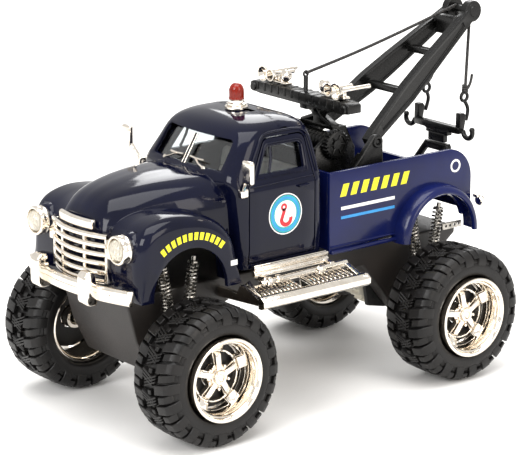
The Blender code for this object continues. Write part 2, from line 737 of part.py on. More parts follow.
# ---------------------------------------------------------------- wheels and motor

def tyre_profile():
    """Section of a fat tyre: tread, rounded sidewalls and a bore for the rim."""
    w = TYRE_HALF
    bore = RIM_R + GAP
    return [(bore, w - 0.3), (14.2, w + 0.8), (TYRE_R - 1.8, w), (TYRE_R, w - 1.4),
            (TYRE_R, 1.4 - w), (TYRE_R - 1.8, -w), (14.2, -w - 0.8), (bore, 0.3 - w)]


def rim_profile():
    """Section of the deep rim: lip, barrel, spoke disc and hub with a blind bore."""
    return [(0.0, 6.0), (2.4, 5.8), (3.0, 4.7), (9.0, 3.4), (9.8, RIM_FACE), (RIM_R, RIM_FACE),
            (RIM_R, -7.0), (10.2, -7.0), (9.4, 1.2), (3.2, 1.8), (3.0, -1.0),
            (AXLE_R + GAP, -1.0), (AXLE_R + GAP, 3.0), (0.0, 3.0)]


def wheels():
    """Two axles with their rims and tyres."""
    for end, place_name in ((-1, "front"), (1, "rear")):
        home = place_name + "_axle_pivot"
        axle = rod(0.0, end * AXLE_Y, TYRE_R, AXLE_R, 2 * (WHEEL_X + 2.7), sides=16)
        place(place_name + "_axle", axle, materials["steel"], home)
        for side, side_name in ((1, "left"), (-1, "right")):
            at = (side * WHEEL_X, end * AXLE_Y, TYRE_R)
            tyre = as_mesh(turned(tyre_profile(), 28))
            aim(tyre, *at, (side, 0, 0))
            place("tyre_%s_%s" % (place_name, side_name), tyre, materials["tyre_rubber"], home)
            rim = as_mesh(turned(rim_profile(), 20))
            aim(rim, *at, (side, 0, 0))
            windows = []
            for i in range(5):
                angle = math.tau * i / 5
                window = plate_x([(-1.9, 4.3), (1.9, 4.3), (2.9, 8.4), (-2.9, 8.4)], -6.0, 6.0)
                turn = Matrix.Rotation(angle, 4, "X")
                window.matrix_world = Matrix.Translation(Vector(at) * MM) @ turn @ window.matrix_world
                windows.append(window)
            place("rim_%s_%s" % (place_name, side_name), cut(rim, windows), materials["chrome"], home)


def spur_gear(teeth, x0, x1, at, bore, start_deg):
    """A spur gear with its axis along X."""
    pitch_r = GEAR_MODULE * teeth / 2
    ring = shifted(gear_ring(teeth, pitch_r + 0.4, pitch_r - 0.75, start_deg), *at)
    hole = shifted(arc(0, 0, bore, 0, 360 - 360 / 12, 11), *at)
    return plate_x(ring, x0, x1, [hole])


def motor():
    """Pull-back motor over the rear axle: open frame, spring barrel, shaft and axle pinion."""
    axle = (AXLE_Y, TYRE_R)
    cheek = [(29.0, 29.0), (31.0, 17.6), (37.0, 16.2), (47.4, 14.8), (47.4, 24.0), (45.0, 36.0), (29.0, 36.0)]
    shaft_hole = shifted(arc(0, 0, 1.1, 0, 330, 11), *BARREL_AXIS)
    axle_hole = shifted(arc(0, 0, AXLE_R + 0.35, 0, 345, 15), *axle)
    cheeks = [plate_x(cheek, side * 8.4 - 0.7, side * 8.4 + 0.7, [shaft_hole, axle_hole])
              for side in (-1, 1)]
    roof = box(-8.4, 8.4, 29.0, 45.0, 34.6, 36.0)
    front = box(-8.4, 8.4, 29.0, 30.2, 29.0, 35.0)
    place("motor_frame", union([*cheeks, roof, front]), materials["trim_black"])
    towards = math.degrees(math.atan2(BARREL_AXIS[1] - axle[1], BARREL_AXIS[0] - axle[0]))
    pinion = spur_gear(PINION_TEETH, 2.4, 5.8, axle, AXLE_R + 0.3, towards)
    place("axle_pinion", pinion, materials["gear_white"], "rear_axle_pivot")
    gap_start = towards + 180.0 + 180.0 / BARREL_TEETH
    wheel = spur_gear(BARREL_TEETH, 2.6, 5.6, BARREL_AXIS, 0.5, gap_start)
    case = turned([(0.0, 8.0), (5.0, 8.0), (5.0, 0.0), (0.0, 0.0)], 20)
    case = as_mesh(case)
    aim(case, -5.2, *BARREL_AXIS, (1, 0, 0))
    shaft = rod(0.0, *BARREL_AXIS, 0.75, 18.6, sides=12)
    place("spring_barrel", union([wheel, case, shaft]), materials["gear_white"], "barrel_pivot")


# ---------------------------------------------------------------- crane

def bracket_outline():
    """Side view of a crane bracket: sloping front edge, upright back, round head at the boom pin."""
    head = arc(BOOM_FOOT[0], BOOM_FOOT[1], 2.0, 0, 150, 6)
    return [(14.6, 50.8), (30.7, 50.8), *head, (17.0, 57.4)]


def crane_base():
    """Base plate and the two outer brackets that carry the boom's foot pins."""
    pieces = [box(-15.0, 15.0, 9.6, 31.4, 50.3, 51.8)]
    hole = shifted(arc(0, 0, 0.95, 0, 330, 11), *BOOM_FOOT)
    for side in (-1, 1):
        pieces.append(plate_x(bracket_outline(), side * 14.1 - 0.9, side * 14.1 + 0.9, [hole]))
        rib = [(15.0, 51.1), (19.6, 51.1), (27.0, 63.2), (24.2, 64.2), (17.4, 57.0)]
        pieces.append(plate_x(rib, side * 12.9 - 1.5, side * 12.9 + 1.5))
    place("crane_base", union(pieces), materials["crane_plastic"])


def mast():
    """Inner cheeks for the winch and the trussed post that carries the light bar."""
    cheek = [(11.0, 52.1), (26.6, 52.1), (27.0, 64.8), (23.4, 71.4), (20.4, 71.4), (12.6, 66.0)]
    hole = shifted(arc(0, 0, 1.15, 0, 330, 11), *WINCH)
    pieces = [plate_x(cheek, side * 6.6 - 0.7, side * 6.6 + 0.7, [hole]) for side in (-1, 1)]
    pieces.append(box(-7.2, 7.2, 20.6, 23.6, 69.8, 71.4))
    pieces.append(box(-6.9, 6.9, 11.5, 26.1, 52.4, 53.4))
    pieces.append(plate_x([(20.8, 70.3), (23.3, 70.3), (19.4, 77.6), (14.0, 77.6), (14.0, 76.2),
                           (17.4, 76.0)], -1.5, 1.5))
    truss = [(-7.0, 70.6), (7.0, 70.6), (7.0, 71.9), (1.4, 74.1), (8.8, 76.3), (8.8, 77.5),
             (-8.8, 77.5), (-8.8, 76.3), (-1.4, 74.1), (-7.0, 71.9)]
    gaps = [[(side * 1.4, 71.8), (side * 4.6, 71.8), (side * 1.4, 73.1)] for side in (-1, 1)]
    gaps += [[(side * 1.4, 75.1), (side * 5.4, 76.4), (side * 1.4, 76.4)] for side in (-1, 1)]
    pieces.append(plate_y(truss, 18.8, 21.4, gaps))
    place("mast_frame", union(pieces), materials["crane_plastic"])


def light_bar():
    """Long black bar with a ribbed top and a rope hook."""
    half = 21.4
    ring = [(-half, 78.4), (-half, 80.7), (-half + 1.2, 81.2), (half - 1.2, 81.2), (half, 80.7),
            (half, 78.4), (half - 4.0, 77.9), (-half + 4.0, 77.9)]
    bar = plate_y(ring, 12.2, 17.0)
    hook = wire([(0.0, 15.0, 80.8), (0.0, 15.0, 85.4)], 0.7)
    place("light_bar", union([bar, hook]), materials["crane_plastic"])


def horns_and_lamps():
    """Bright twin air horns and a round lamp on each end of the light bar."""
    for side, name in ((1, "left"), (-1, "right")):
        pieces = []
        for x, reach, flare in ((15.9, 12.6, 2.3), (12.6, 9.0, 1.8)):
            horn = turned([(0.0, reach), (0.55, reach), (0.6, 4.2), (1.1, 2.0), (flare, 0.4),
                           (flare, 0.0), (0.0, 0.0)], 10)
            horn = as_mesh(horn)
            aim(horn, side * x, 12.2, 83.9, (0, 1, 0))
            pieces.append(horn)
        pieces.append(box(side * 14.2 - 2.2, side * 14.2 + 2.2, 14.6, 16.0, 81.7, 83.6))
        foot = box(side * 12.4 - 5.0, side * 12.4 + 5.0, 14.0, 16.4, 81.5, 82.3)
        pieces += [foot, ball(side * 8.4, 14.8, 84.0, 1.8), rod(side * 8.4, 14.8, 82.3, 0.7, 1.4, "Z", 10)]
        place("horns_and_lamp_" + name, union(pieces), materials["chrome"])


def winch():
    """Drum on its shaft with a toothed wheel at each end."""
    pieces = [rod(0.0, *WINCH, 0.8, 19.0, sides=12), rod(0.0, *WINCH, 2.6, 11.4, sides=18)]
    for side in (-1, 1):
        ring = shifted(gear_ring(GEAR_TEETH, GEAR_TIP_R, GEAR_TIP_R - 0.6), *WINCH)
        pieces.append(plate_x(ring, min(side * 7.7, side * 9.7), max(side * 7.7, side * 9.7)))
    place("winch_drum", union(pieces), materials["crane_plastic"], "winch_pivot")


def boom_leg(side):
    """One tapering leg: a side outline along the boom, leaned up and in towards the tip."""
    length = math.hypot(BOOM_TIP[0] - BOOM_FOOT[0], BOOM_TIP[1] - BOOM_FOOT[1])
    shape = [(-1.4, -1.5), (2.0, -2.2), (20.0, -3.3), (30.0, -3.0), (length, -1.9), (length, 1.7),
             (30.0, 2.9), (20.0, 3.1), (2.0, 2.0), (-1.4, 1.4)]
    along = Vector((side * (BOOM_TIP_X - BOOM_FOOT_X), BOOM_TIP[0] - BOOM_FOOT[0],
                    BOOM_TIP[1] - BOOM_FOOT[1])).normalized()
    across = along.cross(Vector((0, 0, 1))).normalized()
    up = across.cross(along).normalized()
    leg = outline(shape, 2.4)
    frame = Matrix((along, up, along.cross(up))).transposed().to_4x4()
    foot = Vector((side * BOOM_FOOT_X, *BOOM_FOOT)) * MM
    leg.matrix_world = Matrix.Translation(foot) @ frame
    return as_mesh(leg)


def boom():
    """Two converging legs, cross ties and round heads that hold the tip pin."""
    pieces = [boom_leg(1), boom_leg(-1)]
    for share in (0.36, 0.66, 0.9):
        y = BOOM_FOOT[0] + share * (BOOM_TIP[0] - BOOM_FOOT[0])
        z = BOOM_FOOT[1] + share * (BOOM_TIP[1] - BOOM_FOOT[1])
        half = BOOM_FOOT_X + share * (BOOM_TIP_X - BOOM_FOOT_X)
        pieces.append(box(-half, half, y - 1.3, y + 1.3, z - 0.9, z + 0.9))
    for side in (-1, 1):
        pieces.append(rod(side * BOOM_TIP_X, *BOOM_TIP, 3.1, 2.4, sides=20))
        pieces.append(rod(side * 13.4, *BOOM_FOOT, 0.65, 3.2, sides=12))
    pieces.append(box(-BOOM_TIP_X, BOOM_TIP_X, 66.8, 69.6, 91.0, 96.4))
    place("boom_frame", union(pieces), materials["crane_plastic"], "boom_pivot")
    pin = turned([(0.6, 5.0), (1.5, 5.0), (1.1, 2.5), (1.5, 0.0), (0.6, 0.0)], 16)
    pin = as_mesh(pin)
    aim(pin, -2.5, *BOOM_TIP, (1, 0, 0))
    place("tip_roller", pin, materials["crane_plastic"], "boom_pivot")


def hook_curve(side, turn_deg):
    """Points of a J hook at the end of the crossbar."""
    centre = Vector((side * 12.4, 65.6, 64.2))
    points = [(side * 9.0, 65.6, 64.0)]
    for i in range(9):
        angle = math.radians(180 + turn_deg * i / 8)
        points.append((centre.x + side * 1.9 * math.cos(angle), centre.y, centre.z + 1.9 * math.sin(angle)))
    return points


def tow_sling():
    """Crossbar with posts, eyes and hooks, its swivel block and the A-frame below."""
    home = "sling_pivot"
    pieces = [box(-9.6, 9.6, 64.4, 66.6, 63.0, 65.0)]
    for side in (-1, 1):
        post = plate_x([(64.7, 63.4), (66.4, 63.4), (67.4, 68.2), (66.6, 69.2), (64.8, 69.2)],
                       side * 8.9 - 1.0, side * 8.9 + 1.0)
        pieces.append(post)
        pieces.append(wire(hook_curve(side, 200), 0.75))
    pieces.append(box(-4.6, 4.6, 64.6, 66.8, 61.6, 63.4))
    pieces.append(box(-3.4, 3.4, 64.4, 66.2, 59.4, 62.0))
    place("tow_crossbar", union(pieces), materials["crane_plastic"], home)
    legs = [box(-4.6, 4.6, 64.2, 66.4, 56.8, 59.1)]
    for side in (-1, 1):
        legs.append(wire([(side * 4.2, 65.3, 58.4), (side * 10.6, 62.2, 47.4)], 1.1, 2))
    legs.append(rod(0.0, 62.2, 47.2, 1.0, 24.0, sides=12))
    place("tow_a_frame", union(legs), materials["crane_plastic"], home)
    for side, name in ((1, "left"), (-1, "right")):
        eye = wire([(side * 8.1, 67.9 + 1.25 * math.cos(a), 73.6 + 1.25 * math.sin(a))
                    for a in [math.tau * i / 14 for i in range(14)]], 0.5, cyclic=True)
        stem = wire([(side * 8.1, 67.9, 72.5), (side * 8.3, 69.0, 70.8), (side * 8.7, 68.9, 68.4),
                     (side * 8.7, 68.2, 66.6)], 0.55)
        place("hook_eye_" + name, union([eye, stem]), materials["crane_plastic"], home)


def ropes():
    """Taut stay from the light bar to the boom tip, and two ropes down to the eyes."""
    stay = wire([(0.0, 15.0, 86.2), (0.0, 34.0, 89.9), (0.0, 53.0, 94.3), (0.0, 71.4, 99.0)], 0.45, 2)
    place("stay_rope", stay, materials["rope_black"])
    for side, name in ((1, "left"), (-1, "right")):
        start_point = Vector((side * 1.1, 76.0, 96.4))
        end_point = Vector((side * 8.1, 68.2, 75.3))
        points = [start_point + (end_point - start_point) * i / 10 for i in range(11)]
        place("hang_rope_" + name, wire(points, 0.45, 2), materials["rope_black"], "sling_pivot")


# ---------------------------------------------------------------- build

def build():
    """Make every piece."""
    start()
    make_finishes()
    pivot("datum", 0.0, DATUM_Y, 0.0)
    for side, name in ((1, "left"), (-1, "right")):
        pivot("door_pivot_" + name, side * DOOR_HINGE[0], DOOR_HINGE[1], 55.0)
    pivot("front_axle_pivot", 0.0, -AXLE_Y, TYRE_R)
    pivot("rear_axle_pivot", 0.0, AXLE_Y, TYRE_R)
    pivot("barrel_pivot", 0.0, *BARREL_AXIS)
    pivot("winch_pivot", 0.0, *WINCH)
    pivot("boom_pivot", 0.0, *BOOM_FOOT)
    pivot("sling_pivot", 0.0, *BOOM_TIP)
    for make in (cab_shell, windscreen, rear_window, cabin, grille, nose_bar, headlights,
                 front_bumper, beacon, mirrors, doors, bed, tail_lamps, chassis, shocks, steps,
                 wheels, motor, crane_base, mast, light_bar, horns_and_lamps, winch, boom,
                 tow_sling, ropes):
        make()


build()
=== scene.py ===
"""Looks of a toy tow truck on oversized tyres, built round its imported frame."""

from __future__ import annotations

import json
import logging
import math
from dataclasses import dataclass, field
from enum import Enum
from typing import Callable, Iterable

import bmesh
import bpy
from mathutils import Matrix, Vector


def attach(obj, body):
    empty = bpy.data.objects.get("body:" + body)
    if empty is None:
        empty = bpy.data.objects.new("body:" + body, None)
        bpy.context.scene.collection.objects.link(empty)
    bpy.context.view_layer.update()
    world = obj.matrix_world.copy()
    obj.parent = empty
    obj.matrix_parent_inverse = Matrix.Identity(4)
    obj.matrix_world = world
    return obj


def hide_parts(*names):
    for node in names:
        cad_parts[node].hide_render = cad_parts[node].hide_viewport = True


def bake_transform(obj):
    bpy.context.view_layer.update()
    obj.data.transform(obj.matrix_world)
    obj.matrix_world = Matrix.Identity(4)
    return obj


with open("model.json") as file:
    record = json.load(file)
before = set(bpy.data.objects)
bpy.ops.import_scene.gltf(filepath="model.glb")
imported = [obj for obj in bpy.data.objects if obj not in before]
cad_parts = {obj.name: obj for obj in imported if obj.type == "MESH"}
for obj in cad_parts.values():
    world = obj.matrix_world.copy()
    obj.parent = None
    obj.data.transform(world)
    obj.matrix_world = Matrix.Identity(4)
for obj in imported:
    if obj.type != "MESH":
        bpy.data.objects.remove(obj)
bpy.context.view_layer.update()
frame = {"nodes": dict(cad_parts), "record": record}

MM = 0.001
DATUM_Y = -3.7  # the drawing's mid-wheelbase lies this far along Y from the frame's origin, in mm
log = logging.getLogger("tow_truck")
Point = tuple[float, float, float]


# ---------------------------------------------------------------- modelling helpers

def mm(x: float, y: float, z: float) -> Vector:
    """A place on the drawing, in millimetres, as a point of the frame in metres."""
    return Vector((x, y + DATUM_Y, z)) * MM


def deselect() -> None:
    """Leaves edit mode and selects nothing."""
    if bpy.context.object and bpy.context.object.mode != "OBJECT":
        bpy.ops.object.mode_set(mode="OBJECT")
    bpy.ops.object.select_all(action="DESELECT")


def activate(obj: bpy.types.Object) -> None:
    """Makes an object the only selected one."""
    deselect()
    obj.select_set(True)
    bpy.context.view_layer.objects.active = obj


def added(name: str) -> bpy.types.Object:
    """The object an operator has just added, named."""
    obj = bpy.context.object
    obj.name = name
    obj.data.name = name
    return obj


def settle(obj: bpy.types.Object) -> bpy.types.Object:
    """Puts an object's place, turn and size into its mesh."""
    activate(obj)
    bpy.ops.object.transform_apply(location=True, rotation=True, scale=True)
    return obj


def finish_modifiers(obj: bpy.types.Object) -> bpy.types.Object:
    """Applies an object's modifiers in order."""
    activate(obj)
    for modifier in list(obj.modifiers):
        bpy.ops.object.modifier_apply(modifier=modifier.name)
    return obj


def edit(obj: bpy.types.Object, mode: str = "FACE") -> bmesh.types.BMesh:
    """Opens an object in edit mode with nothing selected.

    Args:
        obj: the mesh object.
        mode: VERT, EDGE or FACE, what the next selection is made of.

    Returns:
        The edit mesh.
    """
    activate(obj)
    bpy.ops.object.mode_set(mode="EDIT")
    bpy.ops.mesh.select_mode(type=mode)
    bpy.ops.mesh.select_all(action="DESELECT")
    return bmesh.from_edit_mesh(obj.data)


def move_points(obj: bpy.types.Object, rule: Callable[[Vector], Vector]) -> None:
    """Moves each vertex of an object to where a rule sends it."""
    for vertex in obj.data.vertices:
        vertex.co = rule(vertex.co.copy())
    obj.data.update()


def bevel(obj: bpy.types.Object, width: float, segments: int = 2, angle: float = 30.0) -> bpy.types.Object:
    """Rounds an object's edges sharper than an angle; width is in millimetres."""
    modifier = obj.modifiers.new("round", "BEVEL")
    modifier.width = width * MM
    modifier.segments = segments
    modifier.limit_method = "ANGLE"
    modifier.angle_limit = math.radians(angle)
    modifier.use_clamp_overlap = False
    return finish_modifiers(obj)


def boolean(obj: bpy.types.Object, other: bpy.types.Object, operation: str) -> bpy.types.Object:
    """Cuts, joins or trims an object with another, which is used up."""
    modifier = obj.modifiers.new("boolean", "BOOLEAN")
    modifier.operation = operation
    modifier.object = other
    modifier.solver = "EXACT"
    finish_modifiers(obj)
    bpy.data.objects.remove(other)
    return obj


def joined(pieces: Iterable[bpy.types.Object], name: str) -> bpy.types.Object:
    """Several objects as one."""
    pieces = list(pieces)
    deselect()
    for piece in pieces:
        piece.select_set(True)
    bpy.context.view_layer.objects.active = pieces[0]
    if len(pieces) > 1:
        bpy.ops.object.join()
    pieces[0].name = name
    pieces[0].data.name = name
    return pieces[0]


def outward(obj: bpy.types.Object) -> bpy.types.Object:
    """Merges an object's doubles and turns its faces outwards."""
    edit(obj, "FACE")
    bpy.ops.mesh.select_all(action="SELECT")
    bpy.ops.mesh.remove_doubles(threshold=0.002 * MM)
    bpy.ops.mesh.normals_make_consistent(inside=False)
    bpy.ops.object.mode_set(mode="OBJECT")
    return obj


def smooth(obj: bpy.types.Object, angle: float = 35.0) -> bpy.types.Object:
    """Shades an object smooth, keeping edges sharper than an angle."""
    activate(obj)
    bpy.ops.object.shade_smooth_by_angle(angle=math.radians(angle))
    return obj


def duplicate(obj: bpy.types.Object, name: str) -> bpy.types.Object:
    """A copy of an object with its own mesh."""
    copy = obj.copy()
    copy.data = obj.data.copy()
    copy.name = name
    copy.data.name = name
    bpy.context.scene.collection.objects.link(copy)
    return copy


def placed(obj: bpy.types.Object, matrix: Matrix) -> bpy.types.Object:
    """Moves an object's mesh by a matrix; a mirror image has its faces turned out again."""
    obj.data.transform(matrix)
    if matrix.determinant() < 0:
        outward(obj)
    return obj


def mirrored(obj: bpy.types.Object, name: str) -> bpy.types.Object:
    """A copy of an object on the truck's other side."""
    return smooth(placed(duplicate(obj, name), Matrix.Scale(-1, 4, Vector((1, 0, 0)))))


def block(name: str, low: Point, high: Point, width: float = 0.25, segments: int = 2) -> bpy.types.Object:
    """A box between two corners of the drawing, with rounded edges; all in millimetres."""
    deselect()
    middle = [(a + b) / 2 for a, b in zip(low, high)]
    bpy.ops.mesh.primitive_cube_add(size=1.0, location=mm(*middle))
    obj = added(name)
    obj.scale = [abs(b - a) * MM for a, b in zip(low, high)]
    settle(obj)
    if width:
        bevel(obj, width, segments)
    return obj


def bar(name: str, start: Point, end: Point, radius: float, sides: int = 16) -> bpy.types.Object:
    """A round bar between two points of the drawing, with softened ends; all in millimetres."""
    deselect()
    a, b = mm(*start), mm(*end)
    along = b - a
    bpy.ops.mesh.primitive_cylinder_add(vertices=sides, radius=radius * MM, depth=along.length,
                                        location=(a + b) / 2,
                                        rotation=along.to_track_quat("Z", "Y").to_euler())
    obj = settle(added(name))
    return bevel(obj, radius * 0.2, 2, 60.0)


def sphere(name: str, centre: Point, radius: float, segments: int = 24) -> bpy.types.Object:
    """A ball at a point of the drawing, in millimetres."""
    deselect()
    bpy.ops.mesh.primitive_uv_sphere_add(segments=segments, ring_count=segments // 2, radius=radius * MM,
                                         location=mm(*centre))
    return settle(added(name))


def turned(name: str, profile: list[tuple[float, float]], origin: Point, along: Point,
           steps: int = 48) -> bpy.types.Object:
    """A turned piece, spun from its half profile.

    Args:
        name: the new object's name.
        profile: points (distance from the axis, distance along it) in millimetres.
        origin: where the axis starts on the drawing.
        along: the axis's direction.
        steps: how many sides the round has.

    Returns:
        The closed, smooth-shaded piece.
    """
    deselect()
    bpy.ops.mesh.primitive_plane_add(size=1.0)
    obj = added(name)
    mesh = edit(obj, "EDGE")
    bmesh.ops.delete(mesh, geom=list(mesh.verts), context="VERTS")
    points = [mesh.verts.new((r * MM, 0.0, z * MM)) for r, z in profile]
    for a, b in zip(points, points[1:] + points[:1]):
        if (a.co.x, b.co.x) != (0.0, 0.0):
            mesh.edges.new((a, b))
    bmesh.update_edit_mesh(obj.data)
    bpy.ops.mesh.select_all(action="SELECT")
    bpy.ops.mesh.spin(steps=steps, angle=math.tau, center=(0, 0, 0), axis=(0, 0, 1))
    bpy.ops.object.mode_set(mode="OBJECT")
    turn = Vector(along).to_track_quat("Z", "Y").to_matrix().to_4x4()
    placed(obj, Matrix.Translation(mm(*origin)) @ turn)
    return smooth(outward(obj), 35.0)


def tube(name: str, points: list[Point], radius: float, resolution: int = 3, closed: bool = False,
         follow: bool = True) -> bpy.types.Object:
    """A bent wire or pipe as a mesh.

    Args:
        name: the new object's name.
        points: the drawing's points that it passes, in millimetres.
        radius: its own radius in millimetres.
        resolution: a quarter of the round's sides, less one.
        closed: whether its ends meet.
        follow: whether the line between the points is a smooth curve.

    Returns:
        The closed mesh object.
    """
    deselect()
    curve = bpy.data.curves.new(name, "CURVE")
    curve.dimensions = "3D"
    spline = curve.splines.new("NURBS" if follow else "POLY")
    spline.points.add(len(points) - 1)
    for point, place in zip(spline.points, points):
        point.co = (*mm(*place), 1.0)
    spline.use_cyclic_u = closed
    if follow:
        spline.order_u = min(4, len(points))
        spline.use_endpoint_u = True
        spline.resolution_u = 5
    curve.bevel_depth = radius * MM
    curve.bevel_resolution = resolution
    curve.use_fill_caps = True
    obj = bpy.data.objects.new(name, curve)
    bpy.context.scene.collection.objects.link(obj)
    activate(obj)
    bpy.ops.object.convert(target="MESH")
    return smooth(outward(added(name)), 50.0)


def plate(name: str, points: list[tuple[float, float]], plane: str, low: float, high: float,
          width: float = 0.2, segments: int = 2) -> bpy.types.Object:
    """A flat plate cut to an outline.

    Args:
        name: the new object's name.
        points: the outline's corners in millimetres, (y, z) on plane X, (x, z) on Y and (x, y) on Z.
        plane: X, Y or Z, the axis the plate is thin along.
        low: where it starts along that axis.
        high: where it ends.
        width: how far its edges are rounded.
        segments: how finely they are rounded.

    Returns:
        The plate.
    """
    def corner(u: float, v: float) -> Vector:
        return {"X": mm(low, u, v), "Y": mm(u, low, v), "Z": mm(u, v, low)}[plane]

    deselect()
    bpy.ops.mesh.primitive_plane_add(size=1.0)
    obj = added(name)
    mesh = edit(obj, "FACE")
    bmesh.ops.delete(mesh, geom=list(mesh.verts), context="VERTS")
    face = mesh.faces.new([mesh.verts.new(corner(u, v)) for u, v in points])
    face.select_set(True)
    bmesh.update_edit_mesh(obj.data)
    step = {"X": (1, 0, 0), "Y": (0, 1, 0), "Z": (0, 0, 1)}[plane]
    offset = [part * (high - low) * MM for part in step]
    bpy.ops.mesh.extrude_region_move(TRANSFORM_OT_translate={"value": offset})
    bpy.ops.object.mode_set(mode="OBJECT")
    outward(obj)
    if width:
        bevel(obj, width, segments)
    return smooth(obj)


def arc_points(centre: tuple[float, float], radius: float, start: float, end: float,
               steps: int) -> list[tuple[float, float]]:
    """Points along an arc; its angles are in degrees."""
    angles = [math.radians(start + (end - start) * i / steps) for i in range(steps + 1)]
    return [(centre[0] + radius * math.cos(a), centre[1] + radius * math.sin(a)) for a in angles]


def wear(obj: bpy.types.Object, material: bpy.types.Material, slot: str, body: str,
         *nodes: str) -> bpy.types.Object:
    """Gives a finished piece its material, its body and the frame nodes it stands for."""
    obj.data.materials.clear()
    obj.data.materials.append(material)
    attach(obj, body)
    if nodes:
        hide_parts(*nodes)
    log.info("%s rides on %s, %d faces", obj.name, body, len(obj.data.polygons))
    return obj


def refined(node: str, width: float = 0.2, segments: int = 2, angle: float = 30.0) -> bpy.types.Object:
    """A copy of a frame node with the small edge radii that a mould leaves; width in millimetres."""
    source = frame["nodes"][node]
    obj = bpy.data.objects.new(node + "_finished", source.data.copy())
    bpy.context.scene.collection.objects.link(obj)
    edit(obj, "FACE")
    bpy.ops.mesh.select_all(action="SELECT")
    bpy.ops.mesh.remove_doubles(threshold=0.002 * MM)
    bpy.ops.mesh.dissolve_limited(angle_limit=math.radians(0.5))
    bpy.ops.object.mode_set(mode="OBJECT")
    if width:
        bevel(obj, width, segments, angle)
    return smooth(obj, 40.0)


# ---------------------------------------------------------------- finishes

def linear(hex_colour: str) -> tuple[float, float, float, float]:
    """An sRGB hex colour as linear light."""
    parts = [int(hex_colour[i:i + 2], 16) / 255 for i in (1, 3, 5)]
    return (*[p / 12.92 if p <= 0.04045 else ((p + 0.055) / 1.055) ** 2.4 for p in parts], 1.0)


def add(tree: bpy.types.NodeTree, kind: str, links: dict | None = None,
        **settings: object) -> bpy.types.Node:
    """Adds a node with its settings, and sets or links its inputs."""
    node = tree.nodes.new(kind)
    for key, value in settings.items():
        setattr(node, key, value)
    for key, value in (links or {}).items():
        if isinstance(value, bpy.types.NodeSocket):
            tree.links.new(value, node.inputs[key])
        else:
            node.inputs[key].default_value = value
    return node


@dataclass(frozen=True)
class Finish:
    """A surface as it leaves the mould, the paint booth or the plating tank."""

    name: str
    base: str
    shade: str
    metallic: float = 0.0
    rough: tuple[float, float] = (0.3, 0.4)
    patch_mm: float = 9.0
    grain_mm: float = 0.35
    bump: float = 0.1
    coat: float = 0.0
    transmission: float = 0.0
    ior: float = 1.5
    specular: float = 0.5

    def start(self) -> tuple[bpy.types.NodeTree, bpy.types.Node, bpy.types.NodeSocket]:
        """A new material's tree, its shader and the object coordinates."""
        material = bpy.data.materials.new(self.name)
        material.use_nodes = True
        tree = material.node_tree
        shader = tree.nodes["Principled BSDF"]
        shader.inputs["Metallic"].default_value = self.metallic
        shader.inputs["Coat Weight"].default_value = self.coat
        shader.inputs["Coat Roughness"].default_value = 0.04
        shader.inputs["Transmission Weight"].default_value = self.transmission
        shader.inputs["Specular IOR Level"].default_value = self.specular
        if not self.metallic:
            shader.inputs["IOR"].default_value = self.ior
        coords = add(tree, "ShaderNodeTexCoord").outputs["Object"]
        return tree, shader, coords

    def tone(self, tree: bpy.types.NodeTree, coords: bpy.types.NodeSocket) -> bpy.types.NodeSocket:
        """Colour that drifts softly between the base and the shade over each patch."""
        patch = add(tree, "ShaderNodeTexNoise", {"Vector": coords, "Scale": 1 / (self.patch_mm * MM),
                                                 "Detail": 3.0, "Roughness": 0.55})
        ramp = add(tree, "ShaderNodeValToRGB", {"Fac": patch.outputs["Fac"]})
        ramp.color_ramp.elements[0].position = 0.36
        ramp.color_ramp.elements[0].color = linear(self.shade)
        ramp.color_ramp.elements[1].position = 0.64
        ramp.color_ramp.elements[1].color = linear(self.base)
        return ramp.outputs["Color"]

    def surface(self, tree: bpy.types.NodeTree, shader: bpy.types.Node,
                coords: bpy.types.NodeSocket) -> None:
        """Fine grain in the gloss and in the relief."""
        grain = add(tree, "ShaderNodeTexNoise", {"Vector": coords, "Scale": 1 / (self.grain_mm * MM),
                                                 "Detail": 2.0})
        spread = add(tree, "ShaderNodeMapRange", {"Value": grain.outputs["Fac"], "From Min": 0.3,
                                                  "From Max": 0.7, "To Min": self.rough[0],
                                                  "To Max": self.rough[1]})
        tree.links.new(spread.outputs["Result"], shader.inputs["Roughness"])
        relief = add(tree, "ShaderNodeBump", {"Height": grain.outputs["Fac"], "Strength": self.bump,
                                              "Distance": self.grain_mm * MM * 0.25})
        tree.links.new(relief.outputs["Normal"], shader.inputs["Normal"])

    def material(self) -> bpy.types.Material:
        """The finished material."""
        tree, shader, coords = self.start()
        tree.links.new(self.tone(tree, coords), shader.inputs["Base Color"])
        self.surface(tree, shader, coords)
        return bpy.data.materials[self.name]


@dataclass(frozen=True)
class Clear(Finish):
    """A thin clear or tinted moulding: polished polystyrene, seen through and glossy."""

    tint: str = "#ffffff"

    def material(self) -> bpy.types.Material:
        """Glass-like plastic with faint flow lines."""
        tree, shader, coords = self.start()
        shader.inputs["Base Color"].default_value = linear(self.tint)
        self.surface(tree, shader, coords)
        return bpy.data.materials[self.name]


